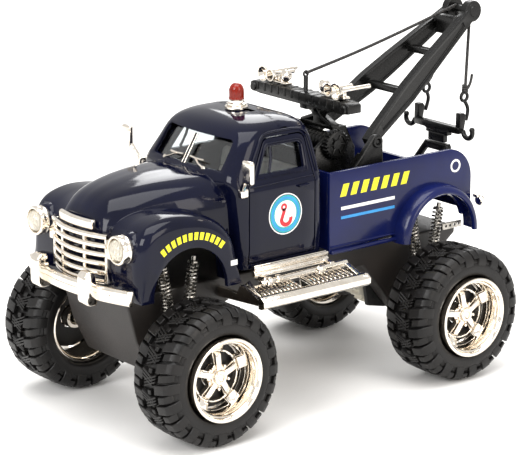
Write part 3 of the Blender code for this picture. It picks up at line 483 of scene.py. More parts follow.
@dataclass(frozen=True)
class Twine(Finish):
    """Waxed twisted cord: its strands wind round it, with painted shade in the grooves between them."""

    lay_mm: float = 0.9

    def material(self) -> bpy.types.Material:
        """Three strands as slanting bands across the cord's own run, the grooves between them darkened with
        painted shade.
        """
        tree, shader, coords = self.start()
        strand_bands_and_groove_shade = add(tree, "ShaderNodeTexWave", {"Vector": coords, "Scale": 1 / (self.lay_mm * MM) / 3.1,
                                                  "Distortion": 1.5, "Detail": 2.0},
                      wave_type="BANDS", bands_direction="DIAGONAL", wave_profile="SIN")
        # Painted shade: the grooves between the strands get the darker colour, the strands the twine's own.
        ramp = add(tree, "ShaderNodeValToRGB", {"Fac": strand_bands_and_groove_shade.outputs["Fac"]})
        ramp.color_ramp.elements[0].color = linear(self.shade)
        ramp.color_ramp.elements[1].color = linear(self.base)
        tree.links.new(ramp.outputs["Color"], shader.inputs["Base Color"])
        shader.inputs["Roughness"].default_value = self.rough[1]
        relief = add(tree, "ShaderNodeBump", {"Height": strand_bands_and_groove_shade.outputs["Fac"], "Strength": 0.7,
                                              "Distance": 0.12 * MM})
        tree.links.new(relief.outputs["Normal"], shader.inputs["Normal"])
        return bpy.data.materials[self.name]


@dataclass(frozen=True)
class Ribbed(Finish):
    """A lens moulded with fine upright flutes that break up what is seen through it."""

    pitch_mm: float = 0.75

    def material(self) -> bpy.types.Material:
        """Clear plastic with fluted relief."""
        tree, shader, coords = self.start()
        shader.inputs["Base Color"].default_value = linear(self.base)
        shader.inputs["Roughness"].default_value = self.rough[0]
        flutes = add(tree, "ShaderNodeTexWave", {"Vector": coords, "Scale": 1 / (self.pitch_mm * MM) / 3.1},
                     wave_type="BANDS", bands_direction="X", wave_profile="SIN")
        relief = add(tree, "ShaderNodeBump", {"Height": flutes.outputs["Fac"], "Strength": 0.5,
                                              "Distance": 0.2 * MM})
        tree.links.new(relief.outputs["Normal"], shader.inputs["Normal"])
        return bpy.data.materials[self.name]


class Slot(str, Enum):
    """The record's material slots."""

    CAB = "cab_paint"
    BED = "bed_plastic"
    CHROME = "chrome"
    STEEL = "steel"
    CHASSIS = "chassis_plastic"
    CRANE = "crane_plastic"
    TRIM = "trim_black"
    SEAT = "seat_grey"
    CLEAR = "clear_plastic"
    LENS = "lens_cream"
    BEACON = "lens_red"
    TYRE = "tyre_rubber"
    ROPE = "rope_black"
    GEAR = "gear_white"


@dataclass
class Finishes:
    """Every finish on the truck, made once."""

    made: dict[str, bpy.types.Material] = field(default_factory=dict)

    def build(self) -> "Finishes":
        """Makes the materials, each named for what it is."""
        for finish in (
            # Baked enamel over die-cast zinc: a deep wet gloss with the faintest orange peel.
            Finish("navy_enamel_on_zinc", "#080b20", "#06081a", rough=(0.07, 0.12), patch_mm=16.0,
                   grain_mm=1.1, bump=0.015, specular=0.24),
            # Dyed ABS, bluer than the enamel and a little softer in its gloss.
            Finish("navy_abs", "#0d1648", "#0a113a", rough=(0.13, 0.2), patch_mm=18.0, grain_mm=1.4,
                   bump=0.012, specular=0.32),
            # Vacuum-metallised styrene: a warm mirror with a slight ripple from the lacquer under it.
            Finish("vacuum_chrome", "#f4ede2", "#e6ddd0", metallic=1.0, rough=(0.06, 0.14), patch_mm=3.0,
                   grain_mm=1.6, bump=0.12),
            # Drawn steel wire and rod, satin from the die.
            Finish("drawn_steel_wire", "#b9b5ae", "#8f8b84", metallic=1.0, rough=(0.2, 0.34), patch_mm=2.0,
                   grain_mm=0.4, bump=0.1),
            # Fine-spark polypropylene: dark brown-black, matt, with broad soft highlights.
            Finish("spark_grain_polypropylene", "#241f1c", "#1b1715", rough=(0.42, 0.55), patch_mm=12.0,
                   grain_mm=0.3, bump=0.25),
            # Semi-gloss black ABS of the crane.
            Finish("black_abs", "#0c0c0b", "#070707", rough=(0.24, 0.36), patch_mm=6.0, grain_mm=0.5,
                   bump=0.1, specular=0.3),
            # Matt black ABS inside the cab and on the motor.
            Finish("matt_black_abs", "#1d1c1c", "#141313", rough=(0.5, 0.62), patch_mm=6.0, grain_mm=0.4,
                   bump=0.2),
            # Embossed pale grey ABS of the bench, with a leather-like grain.
            Finish("grained_grey_abs", "#b9b3ab", "#a39d95", rough=(0.45, 0.6), patch_mm=5.0,
                   grain_mm=0.7, bump=0.5),
            # Clear polystyrene glazing.
            Clear("clear_polystyrene", "#ffffff", "#ffffff", rough=(0.01, 0.05), grain_mm=3.0, bump=0.02,
                  transmission=1.0, ior=1.49, tint="#eef3f4"),
            # Cream-clear fluted headlight lens.
            Ribbed("fluted_clear_lens", "#f3eee0", "#e9e2d0", rough=(0.08, 0.1), transmission=0.75,
                   ior=1.49, coat=0.4),
            # Orange-red dome, dyed through.
            Clear("dyed_red_polystyrene", "#8f1c04", "#701202", rough=(0.06, 0.12), grain_mm=0.8, bump=0.1,
                  transmission=0.3, ior=1.49, specular=0.35, tint="#8c1a02"),
            # Moulded rubber with a dusty bloom on its lugs.
            Finish("moulded_tyre_rubber", "#151312", "#0e0d0d", rough=(0.34, 0.5), patch_mm=5.0,
                   grain_mm=0.45, bump=0.3, specular=0.3),
            # Waxed black twine; its second, darker colour is painted shade in the grooves between strands.
            Twine("waxed_black_twine", "#24211f", "#070606", rough=(0.5, 0.6)),
            # Natural nylon gears, waxy and faintly see-through.
            Finish("natural_nylon", "#e6e0d0", "#d6cfbd", rough=(0.4, 0.5), patch_mm=4.0, grain_mm=0.5,
                   bump=0.1),
            # Pad-printed inks: flat, opaque, a touch duller than the enamel.
            Finish("yellow_ink", "#e9e21c", "#dcd412", rough=(0.3, 0.42), patch_mm=3.0, grain_mm=0.3,
                   bump=0.08),
            Finish("white_ink", "#f2f1ee", "#e4e3df", rough=(0.3, 0.42), patch_mm=3.0, grain_mm=0.3,
                   bump=0.08),
            Finish("sky_blue_ink", "#2b8fd0", "#2382c2", rough=(0.3, 0.42), patch_mm=3.0, grain_mm=0.3,
                   bump=0.08),
            Finish("teal_ink", "#27a3b0", "#1f95a3", rough=(0.3, 0.42), patch_mm=3.0, grain_mm=0.3,
                   bump=0.08),
            Finish("red_ink", "#c81f2d", "#b81826", rough=(0.3, 0.42), patch_mm=3.0, grain_mm=0.3,
                   bump=0.08),
            Finish("brass_tint_dot", "#8d8574", "#6d6656", metallic=0.6, rough=(0.3, 0.4)),
        ):
            self.made[finish.name] = finish.material()
        return self

    def __getitem__(self, name: str) -> bpy.types.Material:
        """The material of a name."""
        return self.made[name]


# ---------------------------------------------------------------- studio

@dataclass
class Studio:
    """Pale table, soft boxes and the camera at a long lens's distance."""

    focal_mm: float = 169.4
    azimuth: float = 51.37
    elevation: float = 16.26
    distance_mm: float = 688.5
    aim_at: Point = (0.0, 0.0, 33.8)
    sensor_mm: float = 36.0
    shift: tuple[float, float] = (-0.0052, 0.0686)
    near_clip: float = 0.01
    surround: float = 0.95

    def floor(self) -> None:
        """A plain off-white table, far larger than the view."""
        deselect()
        bpy.ops.mesh.primitive_plane_add(size=6.0, location=(0, 0, -0.00005))
        table = added("table")
        paper = Finish("matt_white_board", "#f3f2f0", "#efeeec", rough=(0.75, 0.85), patch_mm=300.0,
                       grain_mm=2.0, bump=0.02)
        table.data.materials.append(paper.material())

    def soft_box(self, name: str, place: Point, size: tuple[float, float], power: float,
                 colour: str = "#ffffff") -> None:
        """A rectangular light that faces the truck."""
        deselect()
        bpy.ops.object.light_add(type="AREA", location=place)
        light = added(name)
        light.data.shape = "RECTANGLE"
        light.data.size, light.data.size_y = size
        light.data.energy = power
        light.data.color = linear(colour)[:3]
        towards = Vector((0, 0, 0.04)) - Vector(place)
        light.rotation_euler = towards.to_track_quat("-Z", "Y").to_euler()

    def lights(self) -> None:
        """A high overhead box, a key from the nose side, a fill and a pale surround."""
        self.soft_box("overhead", (0.1, -0.1, 0.95), (0.9, 0.7), 9.0)
        self.soft_box("key", (0.25, -0.95, 0.55), (0.5, 0.5), 7.0)
        self.soft_box("fill", (0.95, 0.15, 0.45), (0.5, 0.6), 4.0, "#fff8f0")
        self.soft_box("back", (-0.7, 0.75, 0.7), (0.6, 0.5), 5.0)
        world = bpy.data.worlds.new("pale_room")
        bpy.context.scene.world = world
        world.use_nodes = True
        world.node_tree.nodes["Background"].inputs["Color"].default_value = linear("#f6f5f4")
        world.node_tree.nodes["Background"].inputs["Strength"].default_value = self.surround
        bpy.context.scene.view_settings.view_transform = "Standard"

    def camera(self) -> None:
        """The camera, three-quarter front, a little above the bonnet."""
        azimuth, elevation = math.radians(self.azimuth), math.radians(self.elevation)
        back = Vector((math.sin(azimuth) * math.cos(elevation), -math.cos(azimuth) * math.cos(elevation),
                       math.sin(elevation)))
        deselect()
        bpy.ops.object.camera_add(location=mm(*self.aim_at) + back * self.distance_mm * MM,
                                  rotation=(math.pi / 2 - elevation, 0.0, azimuth))
        camera = added("camera")
        camera.data.sensor_width = self.sensor_mm
        camera.data.lens = self.focal_mm
        camera.data.shift_x, camera.data.shift_y = self.shift
        camera.data.clip_start = self.near_clip
        bpy.context.scene.camera = camera

    def build(self) -> None:
        """Sets up the whole stage."""
        self.floor()
        self.lights()
        self.camera()


def carried_over(finishes: Finishes) -> None:
    """Gives each frame node that still shows its own finish."""
    dress = {
        Slot.CAB: "navy_enamel_on_zinc", Slot.BED: "navy_abs", Slot.CHROME: "vacuum_chrome",
        Slot.STEEL: "drawn_steel_wire", Slot.CHASSIS: "spark_grain_polypropylene", Slot.CRANE: "black_abs",
        Slot.TRIM: "matt_black_abs", Slot.SEAT: "grained_grey_abs", Slot.CLEAR: "clear_polystyrene",
        Slot.LENS: "fluted_clear_lens", Slot.BEACON: "dyed_red_polystyrene",
        Slot.TYRE: "moulded_tyre_rubber",
        Slot.ROPE: "waxed_black_twine", Slot.GEAR: "natural_nylon",
    }
    for entry in frame["record"]["subparts"]:
        node = frame["nodes"][entry["node"]]
        node.data.materials.clear()
        node.data.materials.append(finishes[dress[Slot(entry["material_slot"])]])


# ---------------------------------------------------------------- lofts

def curve_through(rows: list[tuple[float, ...]], steps: int) -> list[tuple[float, ...]]:
    """Rows of numbers on a smooth curve through the given rows.

    Args:
        rows: the rows to pass, all of one length.
        steps: how many parts each stretch is divided in.

    Returns:
        The rows with the new ones between them.
    """
    fine = []
    for i in range(len(rows) - 1):
        before, a, b, after = rows[max(i - 1, 0)], rows[i], rows[i + 1], rows[min(i + 2, len(rows) - 1)]
        for step in range(steps):
            t = step / steps
            fine.append(tuple(
                0.5 * (2 * q + (r - p) * t + (2 * p - 5 * q + 4 * r - s) * t * t
                       + (3 * q - p - 3 * r + s) * t ** 3)
                for p, q, r, s in zip(before, a, b, after)))
    fine.append(tuple(rows[-1]))
    return fine


def lofted(name: str, rings: list[list[Point]]) -> bpy.types.Object:
    """A closed form skinned over rings of equal length, in millimetres, with flat ends."""
    deselect()
    bpy.ops.mesh.primitive_plane_add(size=1.0)
    obj = added(name)
    mesh = edit(obj, "FACE")
    bmesh.ops.delete(mesh, geom=list(mesh.verts), context="VERTS")
    rows = [[mesh.verts.new(mm(*point)) for point in ring] for ring in rings]
    for low, high in zip(rows, rows[1:]):
        for i in range(len(low)):
            j = (i + 1) % len(low)
            mesh.faces.new((low[i], low[j], high[j], high[i]))
    mesh.faces.new(list(reversed(rows[0])))
    mesh.faces.new(rows[-1])
    bmesh.update_edit_mesh(obj.data)
    return smooth(outward(obj))


def rounded_ring(half: float, low: float, high: float, r_low: float, r_high: float,
                 steps: int = 5, spans: int = 5) -> list[tuple[float, float]]:
    """A rounded rectangle, symmetric about u = 0, with points spread along its sides too."""
    corners = ((half - r_low, low + r_low, r_low, -90), (half - r_high, high - r_high, r_high, 0),
               (-half + r_high, high - r_high, r_high, 90), (-half + r_low, low + r_low, r_low, 180))
    ring: list[tuple[float, float]] = []
    for i, (u, v, radius, start) in enumerate(corners):
        ring += arc_points((u, v), radius, start, start + 90, steps)
        u2, v2, radius2, start2 = corners[(i + 1) % 4]
        there = (u2 + radius2 * math.cos(math.radians(start2)),
                 v2 + radius2 * math.sin(math.radians(start2)))
        here = ring[-1]
        ring += [(here[0] + (there[0] - here[0]) * k / spans, here[1] + (there[1] - here[1]) * k / spans)
                 for k in range(1, spans)]
    return ring


# ---------------------------------------------------------------- wheels

@dataclass
class Wheel:
    """A chrome five-spoke wheel in a blocky off-road tyre; sizes in millimetres from its centre."""

    centre: Point = (30.6, -43.7, 19.1)
    wheelbase: float = 87.4
    radius: float = 19.1
    carcass: float = 17.5
    half_width: float = 8.25
    bore: float = 11.7
    lip: float = 11.4
    lip_face: float = 9.5
    pitches: int = 20
    spokes: int = 5

    def at(self, along: float, around: float, out: float) -> Point:
        """A place on the drawing from the distance along the axle, round the tread and out."""
        return (self.centre[0] + along, self.centre[1] + around, self.centre[2] + out)

    def turn(self, degrees: float) -> Matrix:
        """A turn about the axle."""
        middle = mm(*self.centre)
        return (Matrix.Translation(middle) @ Matrix.Rotation(math.radians(degrees), 4, "X")
                @ Matrix.Translation(-middle))

    def lug(self, name: str, outline: list[tuple[float, float]], around: float, half: float,
            skew: float) -> bpy.types.Object:
        """One tread block: a side outline (along, out) made thick round the tread, then skewed."""
        points = [(self.centre[0] + a, self.centre[2] + r) for a, r in outline]
        obj = plate(name, points, "Y", self.centre[1] + around - half, self.centre[1] + around + half, 0.16,
                    1)
        middle = mm(*self.centre)

        def lean(place: Vector) -> Vector:
            """Skews the block across the tread and narrows it a little towards its top."""
            local = place - middle
            top = max(0.0, local.z / MM - self.carcass)
            squeeze = 1.0 - 0.07 * top
            y = around * MM + (local.y - around * MM) * squeeze + skew * (local.x - 4.5 * MM)
            return middle + Vector((local.x, y, local.z - y * y / (2 * self.radius * MM)))

        move_points(obj, lean)
        return obj

    def tread(self) -> bpy.types.Object:
        """Staggered shoulder blocks and sipe-cut centre blocks, all the way round."""
        top = self.radius - 0.12
        long_block = [(2.6, 16.9), (2.6, top), (6.3, top - 0.15), (7.7, top - 1.1), (8.35, 16.3),
                      (8.2, 14.6),
                      (7.5, 14.8), (7.1, 16.4)]
        short_block = [(3.9, 16.9), (3.9, top - 0.1), (6.3, top - 0.25), (7.6, top - 1.3), (8.1, 16.7),
                       (7.2, 16.3)]
        pitch = 2 * math.pi * self.radius / self.pitches
        pieces = [self.lug("block", long_block, 0.0, 1.45, 0.22),
                  self.lug("block", short_block, pitch / 2, 1.05,
                                                                           0.22)]
        for side_piece in list(pieces):
            other = duplicate(side_piece, "block")
            flip = Matrix.Translation(mm(*self.centre)) @ Matrix.Scale(-1, 4, Vector((1, 0, 0))) @ \
                Matrix.Translation(-mm(*self.centre))
            placed(other, flip)
            pieces.append(placed(other, self.turn(180 / self.pitches)))
        slab = [(-2.9, 16.9), (-2.9, top), (1.7, top), (1.7, 16.9)]
        for k in (-1, 0, 1):
            pieces.append(self.lug("block", slab, 0.35 + k * 0.82, 0.31, -0.42))
            pieces.append(self.lug("block", [(-a, r) for a, r in reversed(slab)],
                                   pitch / 2 + 0.35 + k * 0.82,
                                   0.31, 0.42))
        bar_block = [(-0.7, 16.9), (-0.7, top - 0.3), (0.7, top - 0.3), (0.7, 16.9)]
        pieces.append(self.lug("block", bar_block, -pitch * 0.27, 0.75, 0.0))
        cell = joined(pieces, "tread")
        cells = [cell] + [placed(duplicate(cell, "tread"), self.turn(360 * i / self.pitches))
                          for i in range(1, self.pitches)]
        return joined(cells, "tread")

    def tyre(self) -> bpy.types.Object:
        """The carcass with its bead, sidewall step and tread."""
        w, c = self.half_width, self.carcass
        side = [(self.bore, w - 1.9), (self.bore + 0.05, w - 0.9), (12.1, w - 0.35), (12.5, w - 0.15),
                (13.2, w + 0.02), (14.3, w), (14.9, w - 0.12), (15.3, w - 0.45), (15.6, w - 0.4),
                (16.3, w - 0.75), (17.0, w - 1.5), (c, w - 2.6)]
        profile = side + [(c + 0.12, 0.0)] + [(r, -z) for r, z in reversed(side)]
        carcass = turned("tyre", profile, self.centre, (1, 0, 0), 60)
        return smooth(joined([carcass, self.tread()], "tyre_front_left_tread"), 40.0)

    def window(self, inner: bool) -> bpy.types.Object:
        """One window between two spokes: a rounded triangle inside, a curved slot outside."""
        y, z = self.centre[1], self.centre[2]
        middle = 90 + 180 / self.spokes
        if inner:
            ring = arc_points((y, z), 6.6, middle - 26, middle + 26, 6)
            ring += arc_points((y, z), 3.4, middle + 20, middle - 20, 3)
        else:
            ring = arc_points((y, z), 9.1, middle - 24, middle + 24, 8)
            ring += arc_points((y, z), 7.15, middle + 22, middle - 22, 6)
        return plate("window", ring, "X", self.centre[0] - 4.0, self.centre[0] + 9.0, 0.0)

    def rim(self) -> bpy.types.Object:
        """Deep lip, spider with ten windows, raised spokes, nuts and the stepped hub cap."""
        face = self.lip_face
        barrel = [(11.4, 8.7), (11.35, face - 0.1), (11.1, face), (10.6, face - 0.02), (10.35, face - 0.3),
                  (10.2, face - 0.75), (9.85, face - 0.95), (9.7, face - 1.6), (9.45, face - 1.9),
                  (9.3, 6.0),
                  (9.1, 4.6), (9.1, 2.6), (9.5, 0.0), (9.9, -5.4), (10.5, -6.6), (11.0, -7.0), (11.4, -6.8)]
        spider = [(0.0, 5.0), (3.0, 4.9), (6.2, 4.0), (6.6, 4.25), (7.1, 4.25), (7.5, 4.0), (9.2, 4.9),
                  (9.2, 2.9), (7.0, 2.5), (3.2, 3.1), (3.0, -1.0), (1.9, -1.0), (1.9, 3.0), (0.0, 3.0)]
        disc = turned("spider", spider, self.centre, (1, 0, 0), 60)
        for inner in (True, False):
            cutter = self.window(inner)
            cutters = [cutter] + [placed(duplicate(cutter, "window"), self.turn(360 * k / self.spokes))
                                  for k in range(1, self.spokes)]
            boolean(disc, joined(cutters, "windows"), "DIFFERENCE")
        bevel(disc, 0.14, 2, 40.0)
        pieces = [turned("barrel", barrel, self.centre, (1, 0, 0), 64), disc]
        for k in range(self.spokes):
            ridge = plate("spoke", [(self.centre[0] + 4.2, self.centre[2] + 2.0),
                                    (self.centre[0] + 5.75, self.centre[2] + 2.0),
                                    (self.centre[0] + 5.2, self.centre[2] + 6.3),
                                    (self.centre[0] + 4.3, self.centre[2] + 6.9)], "Y",
                          self.centre[1] - 0.85, self.centre[1] + 0.85, 0.2)
            web = plate("web", [(self.centre[0] + 4.2, self.centre[2] + 7.2),
                                (self.centre[0] + 4.75, self.centre[2] + 7.2),
                                (self.centre[0] + 5.6, self.centre[2] + 9.3),
                                (self.centre[0] + 4.4, self.centre[2] + 9.3)], "Y",
                        self.centre[1] - 1.7, self.centre[1] + 1.7, 0.2)
            nut = turned("nut", [(0.0, 1.9), (0.42, 1.7), (0.55, 1.2), (0.55, 0.0), (0.0, 0.0)],
                         self.at(3.9, 0.0, 3.25), (1, 0, 0), 12)
            placed(nut, self.turn(180 / self.spokes))
            pieces += [placed(piece, self.turn(360 * k / self.spokes)) for piece in (ridge, web, nut)]
        cap = [(0.0, 6.35), (0.7, 6.35), (0.85, 6.15), (1.05, 6.1), (1.2, 6.45), (1.75, 6.5), (1.95, 6.3),
               (2.1, 5.7), (2.35, 5.5), (2.45, 4.6), (0.0, 4.6)]
        pieces.append(turned("cap", cap, self.centre, (1, 0, 0), 32))
        return smooth(joined(pieces, "rim_front_left_bright"), 40.0)

    def build(self, finishes: Finishes) -> None:
        """Makes one wheel, with a matt black drum of painted shade behind its spokes, then its three
        copies.
        """
        tyre, rim = self.tyre(), self.rim()
        # Painted shade: a matt black drum behind the spokes darkens the rim's windows, standing in for the
        # shade inside the wheel.
        drum = turned("drum_shadow",
                      [(3.4, 1.6), (8.4, 1.6), (8.9, 1.9), (8.9, 2.2), (7.2, 2.35), (3.4, 2.3)],
                      self.centre, (1, 0, 0), 48)
        for piece, slot, finish, word in ((tyre, Slot.TYRE, "moulded_tyre_rubber", "tyre"),
                                          (rim, Slot.CHROME, "vacuum_chrome", "rim"),
                                          (drum, Slot.TRIM, "matt_black_abs", "drum")):
            back = Matrix.Translation(Vector((0, self.wheelbase * MM, 0))) @ self.turn(7)
            made = {"front_left": piece,
                    "rear_left": placed(duplicate(piece, word + "_rear_left_copy"), back)}
            for end in ("front", "rear"):
                made[end + "_right"] = mirrored(made[end + "_left"], word + "_" + end + "_right_copy")
            for where, copy in made.items():
                copy.name = "%s_%s_detailed" % (word, where)
                nodes = () if word == "drum" else ("%s_%s" % (word, where),)
                wear(copy, finishes[finish], slot, where.split("_")[0] + "_axle", *nodes)


@dataclass
class CoilShock:
    """Two coil-over shocks that lean together onto one foot; sizes in millimetres."""

    x: float = 18.6
    middle: float = -43.7
    top: float = 47.2
    foot: float = 24.7
    spread_top: float = 5.4
    spread_foot: float = 1.8
    coil: float = 1.38
    wire: float = 0.3
    pitch: float = 1.05
    seat: float = 1.6

    def strut(self, lean: int) -> list[bpy.types.Object]:
        """One spring with its rod, seats and upper eye."""
        top = Vector((self.x, self.middle + lean * self.spread_top, self.top))
        foot = Vector((self.x, self.middle + lean * self.spread_foot, self.foot))
        along = (top - foot).normalized()
        side = along.cross(Vector((1, 0, 0))).normalized()
        other = along.cross(side)
        length = (top - foot).length - 2 * self.seat
        turns = length / self.pitch
        steps = int(turns * 10)
        points = []
        for i in range(steps + 1):
            angle = math.tau * turns * i / steps
            place = foot + along * (self.seat + length * i / steps)
            place += side * self.coil * math.cos(angle) + other * self.coil * math.sin(angle)
            points.append(tuple(place))
        rod = [(0.0, length + 3.2), (0.62, length + 3.1), (0.62, length + 2.0), (1.42, length + 1.8),
               (1.42, length + 1.4), (0.6, length + 1.2), (0.6, length * 0.55), (0.85, length * 0.5),
               (0.85, 1.7), (1.42, 1.5), (1.42, 1.0), (0.6, 0.8), (0.6, 0.0), (0.0, 0.0)]
        return [tube("coil", points, self.wire, 1, follow=False),
                turned("rod", rod, tuple(foot), tuple(along), 14)]

    def build(self, finishes: Finishes) -> None:
        """Makes the front left pair and its three copies."""
        pieces = self.strut(-1) + self.strut(1)
        pieces.append(block("foot", (self.x - 1.2, self.middle - 3.8, 24.0),
                            (self.x + 1.2, self.middle + 3.8, 25.6)))
        pair = smooth(joined(pieces, "shocks_front_left_coils"), 45.0)
        made = {"front_left": pair}
        made["rear_left"] = placed(duplicate(pair, "shocks_rear_left_coils"),
                                   Matrix.Translation(Vector((0, -2 * self.middle * MM, 0))))
        for end in ("front", "rear"):
            made[end + "_right"] = mirrored(made[end + "_left"], "shocks_%s_right_coils" % end)
        for where, copy in made.items():
            wear(copy, finishes["drawn_steel_wire"], Slot.STEEL, "truck", "shocks_" + where)


# ---------------------------------------------------------------- body

@dataclass
class Body:
    """Cab, bonnet and front fenders cast as one hollow shell, with its doors; sizes in millimetres."""

    wall: float = 1.3
    bow: float = 2.4
    fender_in: float = 11.0
    fender_out: float = 25.4
    arch: tuple[float, float, float] = (-44.4, 39.65, 12.0)
    door_gap: float = 0.3
    rows: tuple[tuple[float, ...], ...] = (
        # height, half width, front, rear, front corner, rear corner
        (40.8, 21.1, -26.5, 4.4, 2.4, 3.6),
        (46.0, 21.6, -26.9, 4.7, 2.5, 4.0),
        (50.0, 21.6, -27.2, 4.9, 2.6, 4.2),
        (55.0, 21.6, -27.6, 4.9, 2.8, 4.4),
        (60.0, 21.6, -28.0, 4.9, 3.0, 4.5),
        (62.4, 21.5, -28.3, 4.9, 3.0, 4.6),
        (65.6, 20.4, -28.9, 4.7, 3.6, 4.8),
        (70.6, 19.0, -25.9, 4.2, 3.6, 5.0),
        (75.6, 17.6, -22.5, 3.3, 3.6, 5.4),
        (78.0, 15.3, -19.6, 1.2, 4.6, 6.0),
        (79.2, 11.2, -15.5, -2.2, 4.6, 5.0),
        (79.5, 5.6, -11.7, -6.2, 2.2, 2.2))
    bonnet: tuple[tuple[float, ...], ...] = (
        # place along the truck, half width, top, shoulder
        (-24.0, 17.4, 65.9, 8.5), (-34.0, 16.9, 66.0, 8.5), (-44.0, 15.2, 65.5, 8.0),
        (-52.0, 13.4, 64.3, 7.5), (-57.0, 12.1, 62.6, 7.0), (-60.0, 11.0, 60.2, 6.4),
        (-61.2, 10.2, 58.0, 5.4))
    fender: tuple[tuple[float, float], ...] = (
        (-60.3, 38.0), (-60.7, 45.0), (-60.5, 51.5), (-59.4, 56.0), (-56.2, 58.9), (-50.4, 60.4),
        (-43.8, 60.2), (-37.8, 58.8), (-33.0, 56.0), (-29.8, 52.0), (-28.3, 47.0), (-27.7, 42.4),
        (-27.4, 38.0))

    def cab(self, inset: float = 0.0, low: float | None = None) -> bpy.types.Object:
        """The cab's outer form, or the space inside its wall."""
        rings = []
        for z, half, front, rear, r_front, r_rear in curve_through(list(self.rows), 4):
            drop = inset * min(1.0, max(0.0, (z - 75.6) / 3.0))
            ring = rounded_ring(half - inset, front + inset, rear - inset, max(r_front - inset, 0.6),
                                max(r_rear - inset, 0.6), 5, 6)
            level = z - drop
            if low is not None and not rings:
                level = low
            middle = (front + rear) / 2
            rings.append([(x, y + (self.bow * (x / half) ** 2 if y < middle else 0.0), level)
                          for x, y in ring])
        return lofted("cab", rings)

    def hood(self, inset: float = 0.0, low: float = 50.0) -> bpy.types.Object:
        """The bonnet, crowned along its middle, with upright sides."""
        rings = []
        for y, half, top, shoulder in curve_through(list(self.bonnet), 4):
            ring = rounded_ring(half - inset, low, top - inset, 0.8, shoulder - inset, 6, 6)
            crown = [(x, z + 0.9 * max(0.0, 1.0 - abs(x) / half) ** 1.4 * (1.0 if z > top - 3 else 0.0))
                     for x, z in ring]
            rings.append([(x, y + (inset if y < -60.9 else 0.0), z) for x, z in crown])
        return lofted("bonnet", rings)

    def fender_form(self, side: int, inset: float = 0.0, round_over: float = 3.6) -> bpy.types.Object:
        """A front fender's full outer form, rounded over its top, front and back."""
        path = curve_through(list(self.fender), 5)
        rings = []
        shoulder = self.fender_out - round_over
        places = [self.fender_in + inset, shoulder - 5.0, shoulder]
        places += [shoulder + round_over * math.sin(math.radians(a)) for a in (15, 30, 45, 60, 72, 82, 90)]
        for x in places:
            beyond = min(1.0, max(0.0, (x - shoulder) / round_over))
            pull = round_over * (1 - math.sqrt(1 - beyond * beyond)) * 0.92 + inset
            ring = []
            for i, (y, z) in enumerate(path):
                before, after = path[max(i - 1, 0)], path[min(i + 1, len(path) - 1)]
                run = Vector((after[0] - before[0], after[1] - before[1])).normalized()
                share = min(1.0, max(0.0, (z - 39.0) / 8.0)) if pull > inset else 1.0
                depth = inset + (pull - inset) * share
                ring.append((side * min(x, self.fender_out - inset), y + run.y * depth,
                             z - run.x * depth if z > 38.5 else z - inset))
            rings.append(ring)
        return lofted("fender", rings)

    def door_outline(self, inset: float = 0.0) -> list[tuple[float, float]]:
        """Side view of a doorway; an inset gives the door."""
        d = inset
        return [(-22.3 + d, 42.2 + d), (0.6 - d, 42.2 + d), (0.75 - d, 63.0), (-0.2 - d, 72.6 - d),
                *arc_points((-2.6 - d, 72.8 - d), 2.4, 0, 90, 4)[1:], (-13.0 + d, 75.2 - d),
                *arc_points((-13.2 + d, 72.8 - d), 2.4, 90, 148, 3)[1:], (-20.2 + d, 65.4),
                (-22.2 + d, 63.4)]

    def door_window(self, inset: float = 0.0) -> list[tuple[float, float]]:
        """Side view of a door's window opening."""
        d = inset
        return [(-17.8 + d, 66.0 + d), (-2.2 - d, 66.0 + d), *arc_points((-3.6, 71.4), 1.5 - d, 0, 90, 4),
                *arc_points((-12.6, 71.0), 1.9 - d, 90, 150, 4)]

    def shell(self) -> bpy.types.Object:
        """The whole casting, hollowed, with its windows, doorways and wheel arches."""
        shell = self.cab()
        for form in (self.hood(), self.fender_form(1), self.fender_form(-1)):
            boolean(shell, form, "UNION")
        for side in (-1, 1):
            pod = turned("pod", [(0.0, -1.0), (3.0, -0.6), (4.1, 0.3), (4.35, 1.6), (4.2, 5.0), (3.4, 8.5),
                                 (1.6, 11.5), (0.0, 12.5)], (side * 18.9, -60.4, 53.0), (0, 1, 0), 32)
            boolean(shell, pod, "UNION")
        chin = block("chin", (-11.2, -60.1, 41.6), (11.2, -52.0, 57.0), 0.6, 3)
        boolean(shell, chin, "UNION")
        boolean(shell, self.cab(self.wall, 36.0), "DIFFERENCE")
        boolean(shell, self.hood(1.3, 36.0), "DIFFERENCE")
        for side in (-1, 1):
            boolean(shell, self.fender_form(side, 1.4), "DIFFERENCE")
            y, z, radius = self.arch
            opening = arc_points((y, z), radius, 0, 180, 28) + [(y - radius, 33.0), (y + radius, 33.0)]
            boolean(shell, plate("arch", opening, "X", min(side * 13, side * 27), max(side * 13, side * 27),
                                 0),
                    "DIFFERENCE")
        boolean(shell, block("bay", (-9.8, -58.8, 36.0), (9.8, -50.0, 56.0), 0), "DIFFERENCE")
        boolean(shell, block("below", (-30.0, -70.0, 30.0), (30.0, -24.0, 39.05), 0), "DIFFERENCE")
        wind = [(-14.8, 67.3), (14.8, 67.3), *arc_points((13.0, 73.7), 1.3, 10, 90, 3),
                *arc_points((-13.0, 73.7), 1.3, 90, 170, 3)]
        back = [(-9.4, 68.4), (9.4, 68.4), *arc_points((7.6, 73.6), 1.4, 0, 90, 3),
                *arc_points((-7.6, 73.6), 1.4, 90, 180, 3)]
        boolean(shell, plate("opening", wind, "Y", -33.0, -14.0, 0), "DIFFERENCE")
        boolean(shell, plate("opening", back, "Y", -2.0, 8.0, 0), "DIFFERENCE")
        boolean(shell, plate("opening", self.door_outline(), "X", -30.0, 30.0, 0), "DIFFERENCE")
        return smooth(bevel(outward(shell), 0.16, 2, 48.0), 30.0)

    def skin(self, low: float, high: float) -> bpy.types.Object:
        """A sheet of the cab's own curve between two depths below its surface."""
        sheet = self.cab(low)
        return boolean(sheet, self.cab(high, 36.0), "DIFFERENCE")

